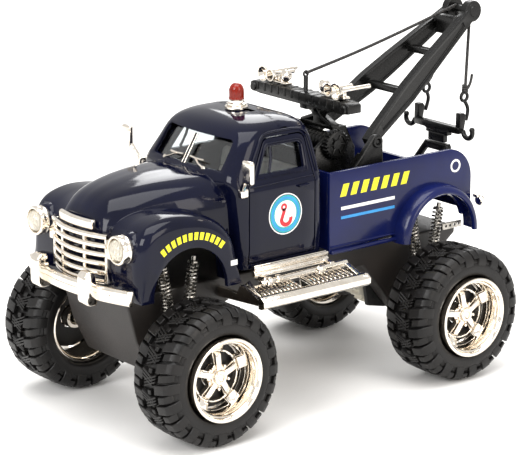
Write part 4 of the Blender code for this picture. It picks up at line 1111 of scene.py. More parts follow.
    def door(self, side: int) -> bpy.types.Object:
        """A door cut from the cab's skin, with its window opening cut through."""
        sheet = self.skin(0.0, self.wall)
        slab = plate("slab", self.door_outline(self.door_gap), "X", min(side * 10, side * 30),
                     max(side * 10, side * 30), 0)
        door = boolean(sheet, slab, "INTERSECT")
        boolean(door, plate("opening", self.door_window(), "X", -30.0, 30.0, 0), "DIFFERENCE")
        return smooth(bevel(outward(door), 0.13, 2, 48.0), 30.0)

    def on_side(self, side: int, y: float, z: float, lift: float = 0.0) -> Point:
        """The place on the cab's side at a station and a height, lifted off the skin."""
        rows = curve_through(list(self.rows), 8)
        below = max((row for row in rows if row[0] <= z), key=lambda row: row[0])
        above = min((row for row in rows if row[0] >= z), key=lambda row: row[0])
        share = (z - below[0]) / max(above[0] - below[0], 1e-6)
        return (side * (below[1] + (above[1] - below[1]) * share + lift), y, z)

    def door_trim(self, side: int, name: str) -> bpy.types.Object:
        """Vent window post, belt bead and the raised frame round the window."""
        frame_line = [(y, z) for y, z in self.door_window(-0.85)]
        ring = [self.on_side(side, y, z, 0.02) for y, z in frame_line]
        pieces = [tube("window_frame", ring, 0.3, 2, closed=True, follow=False),
                  tube("vent_post", [self.on_side(side, -14.0, 66.1, -0.5),
                                     self.on_side(side, -12.7, 69.4, -0.5),
                                     self.on_side(side, -12.3, 72.7, -0.5)], 0.42, 2, follow=False),
                  tube("belt_bead", [self.on_side(side, -21.4, 63.3, 0.0),
                                     self.on_side(side, -11.0, 63.5, 0.02),
                                     self.on_side(side, 0.1, 63.7, 0.0)], 0.28, 2, follow=False)]
        return smooth(joined(pieces, name), 50.0)

    def drip_rail(self, side: int, name: str) -> bpy.types.Object:
        """The gutter that runs up the pillar and over the door."""
        line = [(-23.4, 63.6), (-21.9, 66.0), (-17.2, 73.0), (-15.4, 75.3), (-13.2, 76.2), (-7.0, 76.4),
                (-2.6, 76.2), (-0.4, 75.4), (0.9, 73.2), (1.7, 68.0), (1.9, 64.4)]
        fine = curve_through(line, 4)
        return tube(name, [self.on_side(side, y, z, 0.1) for y, z in fine], 0.34, 2, follow=False)

    def glass(self, name: str, outline: list[tuple[float, float]], plane: str, low: float,
              high: float) -> bpy.types.Object:
        """A thin pane that follows the cab's curve just inside the wall."""
        pane = boolean(self.skin(self.wall + 0.25, self.wall + 0.8),
                       plate("outline", outline, plane, low, high, 0), "INTERSECT")
        pane.name = name
        return smooth(outward(pane), 30.0)

    def build(self, finishes: Finishes) -> None:
        """Makes the shell, both doors and all the glazing."""
        enamel, clear = finishes["navy_enamel_on_zinc"], finishes["clear_polystyrene"]
        shell = self.shell()
        shell.name = "cab_casting"
        wear(shell, enamel, Slot.CAB, "truck", "cab_shell")
        front = [(-16.0, 66.3), (16.0, 66.3), (15.2, 76.0), (-15.2, 76.0)]
        rear = [(-10.6, 67.4), (10.6, 67.4), (9.8, 75.8), (-9.8, 75.8)]
        wear(self.glass("windscreen_pane", front, "Y", -33.0, -14.0), clear, Slot.CLEAR, "truck",
             "windscreen")
        wear(self.glass("rear_pane", rear, "Y", -3.0, 8.0), clear, Slot.CLEAR, "truck", "rear_window")
        for side, word in ((1, "left"), (-1, "right")):
            door = self.door(side)
            lining = block("lining", (side * 19.0, -20.4, 44.0), (side * 20.3, -1.8, 63.4), 0.5, 3)
            handle = block("handle", (side * 21.4, -5.5, 61.1), (side * 22.6, -1.9, 61.8), 0.25, 3)
            boss = turned("boss", [(0.0, 1.0), (0.5, 0.9), (0.6, 0.0), (0.0, 0.0)],
                          (side * 21.4, -2.6, 61.4),
                          (side, 0, 0), 16)
            door = smooth(joined([door, lining, handle, boss], "door_%s_panel" % word), 30.0)
            wear(door, enamel, Slot.CAB, "door_" + word, "door_" + word)
            outline = [(-19.4, 65.0), (-1.4, 65.0), (-1.9, 73.6), (-14.6, 73.6)]
            pane = self.glass("door_%s_pane" % word, outline, "X", min(side * 10, side * 30),
                              max(side * 10, side * 30))
            wear(pane, clear, Slot.CLEAR, "door_" + word, "door_glass_" + word)
            wear(self.door_trim(side, "door_trim_" + word), enamel, Slot.CAB, "door_" + word)
            wear(self.drip_rail(side, "drip_rail_" + word), enamel, Slot.CAB, "truck")


# ---------------------------------------------------------------- cabin

@dataclass
class Cabin:
    """What shows through the glass: tub, dash, bench and steering wheel; sizes in millimetres."""

    channels: int = 9
    wheel_radius: float = 3.4
    wheel_centre: Point = (8.5, -15.6, 64.2)
    wheel_axis: Point = (0.0, 0.8, 0.6)

    def bench(self) -> bpy.types.Object:
        """A one-piece bench with rolled edges and upright sewn channels in its back and seat."""
        side = [(-9.5, 50.0), (-0.5, 50.0), (1.0, 62.6), *arc_points((-0.2, 63.3), 1.4, 0, 170, 5),
                (-2.8, 58.0), *arc_points((-4.4, 56.3), 1.2, 340, 280, 2), (-8.4, 56.5),
                *arc_points((-8.5, 55.6), 1.0, 90, 180, 3)]
        bench = plate("bench", side, "X", -17.0, 17.0, 0.5, 3)
        for i in range(self.channels):
            x = -14.4 + 28.8 * i / (self.channels - 1)
            groove = tube("groove", [(x, -9.9, 56.75), (x, -4.2, 56.9), (x, -2.95, 58.2), (x, -1.65, 65.1)],
                          0.34, 2, follow=False)
            boolean(bench, groove, "DIFFERENCE")
        return smooth(bevel(bench, 0.06, 1, 60.0), 40.0)

    def steering_wheel(self) -> bpy.types.Object:
        """A thin rim with three spokes and a hub."""
        axis = Vector(self.wheel_axis).normalized()
        centre = Vector(self.wheel_centre)
        side = axis.cross(Vector((1, 0, 0))).normalized()
        across = Vector((1, 0, 0))
        ring = [centre + (across * math.cos(a) + side * math.sin(a)) * (self.wheel_radius - 0.45)
                for a in [math.tau * i / 28 for i in range(28)]]
        pieces = [tube("rim", [tuple(p) for p in ring], 0.42, 2, closed=True, follow=False)]
        for turn in (90, 210, 330):
            a = math.radians(turn)
            end = centre + (across * math.cos(a) + side * math.sin(a)) * (self.wheel_radius - 0.5)
            pieces.append(bar("spoke", tuple(centre), tuple(end), 0.26, 8))
        pieces.append(turned("hub", [(0.0, 0.6), (0.6, 0.5), (0.8, 0.0), (0.6, -0.5), (0.0, -0.5)],
                             tuple(centre), tuple(axis), 20))
        return smooth(joined(pieces, "steering_rim"), 40.0)

    def build(self, finishes: Finishes) -> None:
        """Makes the tub with its dash, the bench and the steering wheel."""
        wear(refined("interior_pan", 0.3, 3), finishes["matt_black_abs"], Slot.TRIM, "truck",
             "interior_pan")
        wear(self.bench(), finishes["grained_grey_abs"], Slot.SEAT, "truck", "bench_seat")
        wear(self.steering_wheel(), finishes["matt_black_abs"], Slot.TRIM, "truck", "steering_wheel")


# ---------------------------------------------------------------- nose

def bowed_bar(name: str, half: float, front: float, bow: float, low: float, high: float, depth: float,
              corner: float, steps: int = 28) -> bpy.types.Object:
    """A bar across the nose that bows forward at its middle, with a rounded section and rounded ends.

    Args:
        name: the new object's name.
        half: half its length.
        front: how far forward its middle reaches, along Y.
        bow: how far its ends lie behind its middle.
        low: its underside's height.
        high: its top's height.
        depth: how thick it is, front to back.
        corner: its section's corner radius.
        steps: how many parts its length is divided in.

    Returns:
        The bar.
    """
    section = rounded_ring(depth / 2, low, high, corner, corner, 3, 2)
    middle = (low + high) / 2
    rings = []
    for i in range(steps + 1):
        share = -math.cos(math.pi * i / steps)
        x = half * share
        shrink = min(1.0, math.sqrt(max(0.0, 1 - share * share)) * half / (high - low) * 1.4 + 0.35)
        y = front + bow * share * share + depth / 2
        rings.append([(x, y + u * shrink, middle + (v - middle) * shrink) for u, v in section])
    return lofted(name, rings)


@dataclass
class Nose:
    """Grille, nose bar, headlamps and bumper; sizes in millimetres."""

    lamp_x: float = 18.9
    lamp_z: float = 53.0
    bars: int = 6

    def grille(self) -> bpy.types.Object:
        """Bowed bars on four posts, with stepped ears towards the lamps."""
        pieces = [bowed_bar("grille_bar", 12.6 - 0.25 * (5 - i), -65.2, 2.9, 41.9 + 2.45 * i,
                            43.3 + 2.45 * i, 1.5, 0.5) for i in range(self.bars)]
        for side in (-1, 1):
            for x, depth in ((11.9, 1.9), (5.0, 2.6)):
                near = -65.2 + 2.9 * (x / 12.6) ** 2
                pieces.append(block("post", (side * x - 0.5, near + 0.5, 42.3),
                                    (side * x + 0.5, near + depth, 55.2),
                                    0.15))
            ear = [(side * 11.0, 49.0), (side * 14.6, 49.0), (side * 14.6, 51.5), (side * 12.6, 53.6),
                   (side * 12.6, 55.3), (side * 11.2, 55.3)]
            pieces.append(plate("ear", ear, "Y", -61.8, -60.7, 0.2))
        return smooth(joined(pieces, "grille_bars"), 40.0)

    def lamp(self, side: int, word: str, finishes: Finishes) -> None:
        """One headlamp: bright bowl with a rolled bezel, fluted lens and a bulb shade behind it."""
        origin = (side * self.lamp_x, -60.55, self.lamp_z)
        bowl = turned("headlamp_bowl_" + word,
                      [(0.0, 0.0), (3.0, 0.0), (3.7, 0.2), (3.95, 0.9), (3.75, 1.3), (3.75, 1.9),
                       (4.0, 2.1),
                       (4.0, 2.8), (3.86, 3.15), (3.6, 3.3), (3.3, 3.25), (3.15, 3.0), (3.1, 2.0),
                       (2.4, 1.3), (1.0, 0.9), (0.0, 0.8)], origin, (0, -1, 0), 56)
        wear(bowl, finishes["vacuum_chrome"], Slot.CHROME, "truck", "headlight_" + word)
        front = (side * self.lamp_x, -62.8, self.lamp_z)
        lens = turned("headlamp_lens_" + word,
                      [(0.0, 2.2), (0.9, 2.12), (1.7, 1.86), (2.35, 1.42), (2.75, 0.85), (2.9, 0.3),
                       (2.9, 0.0), (2.2, 0.35), (0.0, 0.9)], front, (0, -1, 0), 48)
        wear(lens, finishes["fluted_clear_lens"], Slot.LENS, "truck", "headlight_lens_" + word)
        shade = turned("bulb_shade_" + word,
                       [(0.0, 0.55), (0.5, 0.45), (0.75, 0.0), (0.75, -0.7), (0.0, -0.7)],
                       front, (0, -1, 0), 24)
        wear(shade, finishes["brass_tint_dot"], Slot.CHROME, "truck")

    def bumper(self) -> bpy.types.Object:
        """A bowed bar with a rolled lower lip, two overriders, their bolts and two stays."""
        pieces = [bowed_bar("bumper_bar", 23.2, -67.6, 4.6, 38.6, 42.8, 1.7, 0.75, 40),
                  bowed_bar("bumper_crease", 22.2, -67.75, 4.5, 40.3, 41.1, 0.8, 0.3, 40)]
        for side in (-1, 1):
            guard = [(-67.6, 37.2), (-68.6, 37.6), (-69.4, 38.6), (-69.5, 41.0), (-69.5, 44.6),
                     (-69.2, 45.8),
                     (-68.2, 46.6), (-66.6, 46.6), (-66.0, 46.0), (-65.4, 42.0), (-65.4, 37.2)]
            pieces.append(plate("overrider", guard, "X", side * 11 - 1.9, side * 11 + 1.9, 0.6, 4))
            pieces.append(block("stay", (side * 7.5 - 1.3, -66.3, 38.9), (side * 7.5 + 1.3, -61.5, 40.7),
                                0.3))
            pieces.append(turned("bolt", [(0.0, 0.35), (0.6, 0.25), (0.75, 0.0), (0.0, 0.0)],
                                 (side * 17.0, -65.12, 40.7), (side * 0.2, -1, 0), 12))
        return smooth(joined(pieces, "bumper_with_overriders"), 40.0)

    def build(self, finishes: Finishes) -> None:
        """Makes every bright piece of the nose."""
        chrome = finishes["vacuum_chrome"]
        wear(self.grille(), chrome, Slot.CHROME, "truck", "grille")
        bar_over = bowed_bar("nose_bar_moulding", 7.5, -64.2, 0.9, 55.9, 58.6, 1.5, 0.6)
        wear(bar_over, chrome, Slot.CHROME, "truck", "nose_bar")
        wear(self.bumper(), chrome, Slot.CHROME, "truck", "front_bumper")
        for side, word in ((1, "left"), (-1, "right")):
            self.lamp(side, word, finishes)


@dataclass
class CabTrim:
    """Beacon, door mirrors and wipers; sizes in millimetres."""

    beacon_at: Point = (0.0, -9.5, 79.8)
    ribs: int = 14

    def beacon(self, finishes: Finishes) -> None:
        """A stepped bright base, a ribbed red dome and the reflector inside it."""
        base = turned("beacon_foot",
                      [(0.0, 0.0), (3.2, 0.0), (3.2, 0.5), (3.0, 0.75), (2.5, 0.8), (2.4, 1.0),
                                      (2.75, 1.1), (2.75, 1.4), (2.3, 1.5), (2.1, 1.7), (2.1, 2.2),
                                      (0.0, 2.2)],
                      self.beacon_at, (0, 0, 1), 48)
        wear(base, finishes["vacuum_chrome"], Slot.CHROME, "truck", "beacon_base")
        x, y, z = self.beacon_at
        dome = turned("beacon_dome",
                      [(0.0, 4.4), (0.5, 4.36), (1.1, 4.15), (1.6, 3.7), (1.9, 3.1), (2.0, 2.4),
                                      (2.05, 0.5), (2.2, 0.45), (2.2, 0.0), (1.5, 0.0), (1.5, 2.4),
                                      (1.2, 3.1),
                                      (0.0, 3.6)], (x, y, z + 2.5), (0, 0, 1), 48)
        pieces = [dome]
        for i in range(self.ribs):
            a = math.tau * i / self.ribs
            pieces.append(bar("rib", (x + 1.98 * math.cos(a), y + 1.98 * math.sin(a), z + 3.0),
                              (x + 1.93 * math.cos(a), y + 1.93 * math.sin(a), z + 5.3), 0.13, 6))
        wear(smooth(joined(pieces, "beacon_dome"), 40.0), finishes["dyed_red_polystyrene"], Slot.BEACON,
             "truck",
             "beacon_lens")
        reflector = turned("beacon_reflector", [(0.0, 2.6), (0.5, 2.4), (0.9, 1.4), (0.9, 0.1), (0.0, 0.1)],
                           (x, y, z + 2.4), (0, 0, 1), 24)
        wear(reflector, finishes["vacuum_chrome"], Slot.CHROME, "truck")

    def mirror(self, side: int) -> bpy.types.Object:
        """A door mirror: foot, bent arm, and a rounded head with a recessed face."""
        head = block("head", (side * 25.1, -27.5, 66.4), (side * 29.1, -26.1, 72.6), 0.55, 4)
        recess = block("recess", (side * 25.6, -26.5, 67.0), (side * 28.6, -25.0, 72.0), 0.3, 2)
        boolean(head, recess, "DIFFERENCE")
        arm = tube("arm", [(side * 22.2, -25.2, 62.6), (side * 22.9, -25.7, 63.6),
                           (side * 25.4, -26.7, 66.6),
                           (side * 26.4, -26.8, 68.4)], 0.78, 3)
        foot = block("foot", (side * 21.9, -26.4, 61.6), (side * 23.7, -23.9, 64.0), 0.4, 3)
        return smooth(joined([head, arm, foot], "mirror_head"), 35.0)

    def wiper(self, side: int) -> bpy.types.Object:
        """A bright wiper lying across one pane."""
        def on_glass(x: float, z: float, lift: float) -> Point:
            return (x, -28.9 + (z - 65.6) * 0.645 + 2.4 * (x / 19.5) ** 2 - lift, z)
        foot = (side * 8.6, 67.2)
        pieces = [tube("wiper_arm", [on_glass(*foot, 0.2), on_glass(side * 6.4, 68.0, 0.4),
                                     on_glass(side * 4.4, 68.9, 0.3)], 0.27, 2, follow=False),
                  tube("wiper_blade", [on_glass(side * 1.5, 69.1, -0.1), on_glass(side * 4.3, 68.9, -0.05),
                                       on_glass(side * 7.4, 68.9, -0.1)], 0.33, 2, follow=False),
                  turned("pivot", [(0.0, 0.6), (0.5, 0.5), (0.65, 0.0), (0.0, 0.0)],
                         on_glass(*foot, 0.0), (0, -0.8, 0.6), 16)]
        return smooth(joined(pieces, "wiper"), 40.0)

    def build(self, finishes: Finishes) -> None:
        """Makes the beacon, both mirrors, both wipers and the windscreen's centre post."""
        chrome = finishes["vacuum_chrome"]
        self.beacon(finishes)
        for side, word in ((1, "left"), (-1, "right")):
            mirror = self.mirror(side)
            mirror.name = "door_mirror_" + word
            wear(mirror, chrome, Slot.CHROME, "truck", "mirror_" + word)
            wiper = self.wiper(side)
            wiper.name = "wiper_" + word
            wear(wiper, chrome, Slot.CHROME, "truck")
        post = [(0.0, -27.75, 67.0), (0.0, -25.65, 70.4), (0.0, -23.05, 74.6)]
        wear(tube("centre_post", post, 0.5, 2), finishes["matt_black_abs"], Slot.TRIM, "truck")
        strips = [tube("strip", [(side * 0.55, y - 0.15, z) for _, y, z in post], 0.22, 2) for side in (-1,
                                                                                                        1)]
        wear(joined(strips, "centre_strips"), chrome, Slot.CHROME, "truck")


# ---------------------------------------------------------------- bed and underside

@dataclass
class Bed:
    """Load bed with flared rear fenders; sizes in millimetres."""

    half: float = 20.3
    wall: float = 1.4
    front: float = 6.9
    rear: float = 59.9
    low: float = 40.0
    high: float = 62.6
    corner: float = 9.0
    arch: tuple[float, float] = (45.1, 39.3)
    arch_radius: float = 11.9

    def side_outline(self) -> list[tuple[float, float]]:
        """Side view of a wall with its big round rear corner."""
        return [(self.front, self.low), (self.rear, self.low + 3.0),
                *arc_points((self.rear - self.corner, self.high - self.corner), self.corner, 0, 90, 18),
                (self.front, self.high)]

    def fender(self, side: int) -> bpy.types.Object:
        """A rear fender: a rounded flare swept round the arch, with a turned-in lip."""
        section = [(19.2, 14.6), (21.4, 14.6), (22.8, 14.45), (23.9, 14.1), (24.6, 13.55), (24.9, 12.9),
                   (24.9, 12.3), (24.5, 12.0), (23.9, 12.0), (23.5, 12.5), (22.6, 13.0), (19.2, 13.1)]
        y, z = self.arch
        rings = []
        for i in range(37):
            a = math.radians(-1 + 182 * i / 36)
            rings.append([(side * x, y + r * math.cos(a), z + r * math.sin(a)) for x, r in section])
        return lofted("fender_flare", rings)

    def tub(self) -> bpy.types.Object:
        """Walls, ends and a floor, with the wheel arches cut through."""
        pieces = []
        for side in (-1, 1):
            inner = side * (self.half - self.wall)
            pieces.append(plate("wall", self.side_outline(), "X", min(inner, side * self.half),
                                max(inner, side * self.half), 0.3, 3))
        wall = self.half - 0.4
        pieces.append(block("front_panel", (-wall, self.front + 0.15, self.low + 0.6),
                            (wall, self.front + self.wall, self.high - 0.2), 0.2))
        pieces.append(block("rear_panel", (-wall, self.rear - self.wall - 0.2, 44.0),
                            (wall, self.rear - 0.2, 54.0), 0.3))
        pieces.append(block("floor", (-wall, self.front + 0.4, 48.6), (wall, self.rear - 0.8, 50.0), 0.1))
        tub = pieces[0]
        for piece in pieces[1:]:
            boolean(tub, piece, "UNION")
        y, z = self.arch
        for side in (-1, 1):
            opening = arc_points((y, z + 0.35), self.arch_radius, 0, 180, 30)
            opening += [(y - self.arch_radius, 33.0), (y + self.arch_radius, 33.0)]
            boolean(tub, plate("opening", opening, "X", min(side * 18.0, side * 26.5),
                               max(side * 18.0, side * 26.5),
                               0), "DIFFERENCE")
        return smooth(outward(tub), 35.0)

    def details(self) -> list[bpy.types.Object]:
        """Sill beads, top rolls, floor strips and tailgate pressings."""
        made = []
        for side in (-1, 1):
            x = side * (self.half - 0.02)
            made.append(tube("sill_bead", [(x, self.front + 0.4, 41.6), (x, 31.6, 41.6)], 0.3, 2,
                             follow=False))
            made.append(block("sill_flare", (side * (self.half - 0.6), self.front + 0.1, 39.6),
                              (side * (self.half + 1.0), 32.6, 40.7), 0.4, 3))
            made.append(tube("top_roll", [(side * (self.half - 0.7), self.front + 0.4, self.high - 0.25),
                                          (side * (self.half - 0.7), self.rear - self.corner,
                                           self.high - 0.25)],
                             0.35, 3, follow=False))
        for x in (-13.5, -8.1, -2.7, 2.7, 8.1, 13.5):
            made.append(block("floor_strip", (x - 0.5, 32.4, 49.9), (x + 0.5, 57.6, 50.35), 0.1, 1))
        made.append(block("tailgate_panel", (-15.0, self.rear - 0.3, 46.2), (15.0, self.rear - 0.02, 51.8),
                          0.1))
        return made

    def build(self, finishes: Finishes) -> None:
        """Makes the bed with its fenders, and both tail lamps."""
        tub = joined([self.tub(), self.fender(1), self.fender(-1), *self.details()], "bed_moulding")
        wear(smooth(tub, 35.0), finishes["navy_abs"], Slot.BED, "truck", "bed")
        for side, word in ((1, "left"), (-1, "right")):
            lamp = turned("tail_lamp",
                          [(0.0, 0.0), (1.2, 0.0), (1.55, 0.25), (1.7, 0.7), (1.7, 1.1), (1.5, 1.35),
                                        (1.2, 1.2), (0.0, 1.5)], (side * 22.2, 60.85, 46.6), (0, 1, 0), 32)
            stalk = block("stalk", (side * 21.6 - 1.0, 60.2, 47.4), (side * 21.6 + 1.0, 61.6, 48.4), 0.3, 3)
            wear(smooth(joined([lamp, stalk], "tail_lamp_bowl_" + word), 35.0), finishes["vacuum_chrome"],
                 Slot.CHROME, "truck", "tail_lamp_" + word)


@dataclass
class Steps:
    """Bright running boards with pierced pads; sizes in millimetres."""

    pads: tuple[tuple[float, float], ...] = ((-26.6, -13.2), (-9.6, 4.8))
    pad_span: tuple[float, float] = (27.15, 34.05)
    pad_outer: float = 34.0
    pad_above: float = 35.6
    pad_lift: float = 0.35
    pad_slope: float = 0.17
    margin: float = 0.7
    slots: int = 9

    def pitch(self, start: float, end: float) -> float:
        """The distance from slot to slot on a pad."""
        return (end - start - 2 * self.margin) / self.slots

    def board(self, side: int, word: str) -> bpy.types.Object:
        """One running board: ribbed sill, rail with end bolts, and pads with rows of slots."""
        board = refined("step_" + word, 0.22, 3, 32.0)

        def tilt(place: Vector) -> Vector:
            """Raises each pad, its inner edge the most, so that it faces a little outwards."""
            x, y, z = abs(place.x) / MM, place.y / MM - DATUM_Y, place.z / MM
            on_pad = (self.pad_span[0] < x < self.pad_span[1] and z > self.pad_above
                      and any(a - 0.05 < y < b + 0.05 for a, b in self.pads))
            rise = self.pad_lift + (self.pad_outer - x) * self.pad_slope
            return place + Vector((0, 0, rise * MM if on_pad else 0.0))

        move_points(board, tilt)
        cutters = []
        for start, end in self.pads:
            pitch = self.pitch(start, end)
            for i in range(self.slots):
                y = start + self.margin + pitch * (i + 0.5)
                for low, high in ((28.6, 30.6), (31.1, 33.1)):
                    cutters.append(block("slot", (side * low, y - 0.38, 35.0),
                                         (side * high, y + 0.38, 39.0), 0.15, 2))
        boolean(board, joined(cutters, "slots"), "DIFFERENCE")
        pieces = [board]
        for start, end in self.pads:
            pitch = self.pitch(start, end)
            for i in range(self.slots + 1):
                y = start + self.margin + pitch * i
                pieces.append(bar("tread_bar", (side * 28.4, y, 38.12), (side * 33.3, y, 37.28), 0.26, 8))
        for z in (39.5, 41.4):
            pieces.append(bar("sill_rib", (side * 23.42, -21.4, z), (side * 23.42, 3.6, z), 0.26, 10))
        pieces.append(bar("sill_top_rib", (side * 22.6, -21.4, 41.84), (side * 22.6, 3.6, 41.84), 0.24, 10))
        for y in (-27.6, 7.6):
            pieces.append(turned("bolt", [(0.0, 0.5), (0.55, 0.4), (0.75, 0.0), (0.0, 0.0)],
                                 (side * 34.9, y, 37.0), (side * 0.5, 0, 0.86), 12))
        for y in (-16.0, -1.0):
            pieces.append(turned("collar", [(0.7, -0.8), (1.1, -0.8), (1.2, -0.5), (1.2, 0.5), (1.1, 0.8),
                                            (0.7, 0.8)],
                                 (side * 26.2, y, 38.3), (0, 1, 0), 20))
        return smooth(joined(pieces, "running_board_" + word), 35.0)

    def build(self, finishes: Finishes) -> None:
        """Makes both running boards."""
        for side, word in ((1, "left"), (-1, "right")):
            wear(self.board(side, word), finishes["vacuum_chrome"], Slot.CHROME, "truck", "step_" + word)


@dataclass
class Underside:
    """Chassis, axles and the pull-back motor, with moulded edges and screws; sizes in millimetres."""

    screws: tuple[tuple[float, float], ...] = ((-11.0, -14.0), (11.0, -14.0), (-11.0, 14.0), (11.0, 14.0))

    def build(self, finishes: Finishes) -> None:
        """Makes the frame, its floor screws, the axles, the motor and its gears."""
        wear(refined("chassis_frame", 0.7, 3, 32.0), finishes["spark_grain_polypropylene"], Slot.CHASSIS,
             "truck",
             "chassis_frame")
        for i, (x, y) in enumerate(self.screws):
            screw = turned("floor_screw_%d" % (i + 1), [(0.0, 0.2), (0.5, 0.15), (0.9, 0.45), (1.15, 0.3),
                                                        (1.2, 0.0), (0.0, 0.0)], (x, y, 32.05), (0, 0, -1),
                                                        20)
            wear(screw, finishes["drawn_steel_wire"], Slot.STEEL, "truck")
        for end in ("front", "rear"):
            wear(refined(end + "_axle", 0.3, 2), finishes["drawn_steel_wire"], Slot.STEEL, end + "_axle",
                 end + "_axle")
        for side, word in ((1, "left"), (-1, "right")):
            leaf = block("pierced_leaf_" + word, (side * 17.4, 51.2, 38.4), (side * 18.0, 58.6, 40.4), 0.15)
            holes = [bar("hole", (side * 16.0, y, z), (side * 20.0, y, z), 0.42, 12)
                     for y, z in ((52.6, 39.4), (54.2, 39.4), (55.8, 39.4), (57.4, 39.4))]
            boolean(leaf, joined(holes, "holes"), "DIFFERENCE")
            wear(leaf, finishes["drawn_steel_wire"], Slot.STEEL, "truck")
        wear(refined("motor_frame", 0.2, 2), finishes["matt_black_abs"], Slot.TRIM, "truck", "motor_frame")
        wear(refined("spring_barrel", 0.08, 1, 40.0), finishes["natural_nylon"], Slot.GEAR, "spring_barrel",
             "spring_barrel")
        wear(refined("axle_pinion", 0.08, 1, 40.0), finishes["natural_nylon"], Slot.GEAR, "rear_axle",
             "axle_pinion")


# ---------------------------------------------------------------- crane

@dataclass
class Mast:
    """Crane base, winch, braced post, light bar and what stands on it; sizes in millimetres."""

    winch: tuple[float, float] = (18.5, 66.9)
    bar_half: float = 21.4

    def light_bar(self) -> bpy.types.Object:
        """A chamfered bar with a ribbed top, end bosses and the loop the stay is tied to."""
        bar_body = refined("light_bar", 0.25, 2, 32.0)
        pieces = [bar_body]
        for i in range(13):
            x = -18.0 + 3.0 * i
            pieces.append(block("rib", (x - 0.45, 12.05, 78.9), (x + 0.45, 17.1, 81.3), 0.12, 1))
        for side in (-1, 1):
            pieces.append(turned("boss", [(0.0, 0.5), (1.0, 0.45), (1.3, 0.0), (0.0, 0.0)],
                                 (side * 19.6, 12.0, 79.5), (0, -1, 0), 20))
        ring = [(0.0, 15.0 + 0.75 * math.cos(a), 86.0 + 0.75 * math.sin(a))
                for a in [math.tau * i / 20 for i in range(20)]]
        pieces.append(tube("stay_loop", ring, 0.3, 2, closed=True, follow=False))
        return smooth(joined(pieces, "light_bar_moulding"), 35.0)

    def horns(self, side: int, word: str) -> bpy.types.Object:
        """Two flared air horns on a saddle, with a round lamp beside them."""
        pieces = []
        for x, reach, flare in ((15.9, 12.6, 2.3), (12.6, 9.0, 1.8)):
            pieces.append(turned("horn", [(0.0, reach), (0.5, reach - 0.05), (0.62, reach - 0.4),
                                          (0.55, reach - 1.2),
                                          (0.6, 4.4), (0.8, 2.6), (1.2, 1.5), (flare - 0.3, 0.6),
                                          (flare, 0.3),
                                          (flare, 0.0), (flare - 0.4, 0.05), (1.0, 1.2), (0.5, 2.4),
                                          (0.0, 2.8)],
                                 (side * x, 12.2, 83.9), (0, 1, 0), 32))
        pieces.append(block("saddle", (side * 12.0, 14.6, 81.7), (side * 16.4, 16.0, 83.6), 0.3))
        pieces.append(block("foot", (side * 7.4, 14.0, 81.5), (side * 17.4, 16.4, 82.3), 0.25))
        x, y, z = side * 8.4, 14.8, 84.0
        pieces.append(turned("lamp",
                             [(0.0, 1.5), (0.8, 1.35), (1.4, 0.95), (1.6, 0.7), (1.8, 0.6), (1.8, 0.2),
                                      (1.65, -0.1), (1.5, -0.8), (0.9, -1.5), (0.0, -1.75)], (x, y, z),
                                      (0, -1, 0), 32))
        pieces.append(bar("stalk", (x, y, 82.2), (x, y, 83.0), 0.6, 16))
        return smooth(joined(pieces, "horns_" + word), 40.0)

    def drum(self) -> bpy.types.Object:
        """The winch: wound drum, shaft, and toothed wheels with dished faces, spokes and a crank hole."""
        drum = refined("winch_drum", 0.06, 1, 40.0)
        y, z = self.winch
        for side in (-1, 1):
            dish = turned("dish", [(1.3, 0.5), (2.9, 0.5), (2.9, -0.5), (1.3, -0.5)], (side * 9.75, y, z),
                          (side, 0, 0), 32)
            boolean(drum, dish, "DIFFERENCE")
        pieces = [drum]
        for side in (-1, 1):
            for i in range(6):
                a = math.tau * i / 6
                pieces.append(bar("spoke", (side * 9.35, y + 1.1 * math.cos(a), z + 1.1 * math.sin(a)),
                                  (side * 9.35, y + 3.0 * math.cos(a), z + 3.0 * math.sin(a)), 0.3, 8))
        for i in range(8):
            x = -4.9 + 1.4 * i
            pieces.append(turned("wrap", [(2.4, -0.5), (2.6, -0.5), (2.95, -0.25), (2.95, 0.25), (2.6, 0.5),
                                          (2.4, 0.5)], (x, y, z), (1, 0, 0), 32))
        return smooth(joined(pieces, "winch_with_gears"), 35.0)

    def build(self, finishes: Finishes) -> None:
        """Makes everything of the crane that stays still, and the winch."""
        black = finishes["black_abs"]
        base = refined("crane_base", 0.2, 2, 32.0)
        pieces = [base]
        for side in (-1, 1):
            for y, z in ((20.5, 53.2), (27.6, 53.2)):
                pieces.append(turned("rivet", [(0.0, 0.35), (0.45, 0.3), (0.65, 0.0), (0.0, 0.0)],
                                     (side * 14.95, y, z), (side, 0, 0), 16))
            pieces.append(turned("pin_cap", [(1.0, 0.0), (1.7, 0.0), (1.7, 0.3), (1.5, 0.45), (1.0, 0.45)],
                                 (side * 14.95, 28.7, 67.3), (side, 0, 0), 28))
        wear(smooth(joined(pieces, "crane_base_moulding"), 35.0), black, Slot.CRANE, "truck", "crane_base")
        wear(refined("mast_frame", 0.2, 2, 32.0), black, Slot.CRANE, "truck", "mast_frame")
        wear(self.light_bar(), black, Slot.CRANE, "truck", "light_bar")
        for side, word in ((1, "left"), (-1, "right")):
            wear(self.horns(side, word), finishes["vacuum_chrome"], Slot.CHROME, "truck",
                 "horns_and_lamp_" + word)
        wear(self.drum(), black, Slot.CRANE, "winch", "winch_drum")


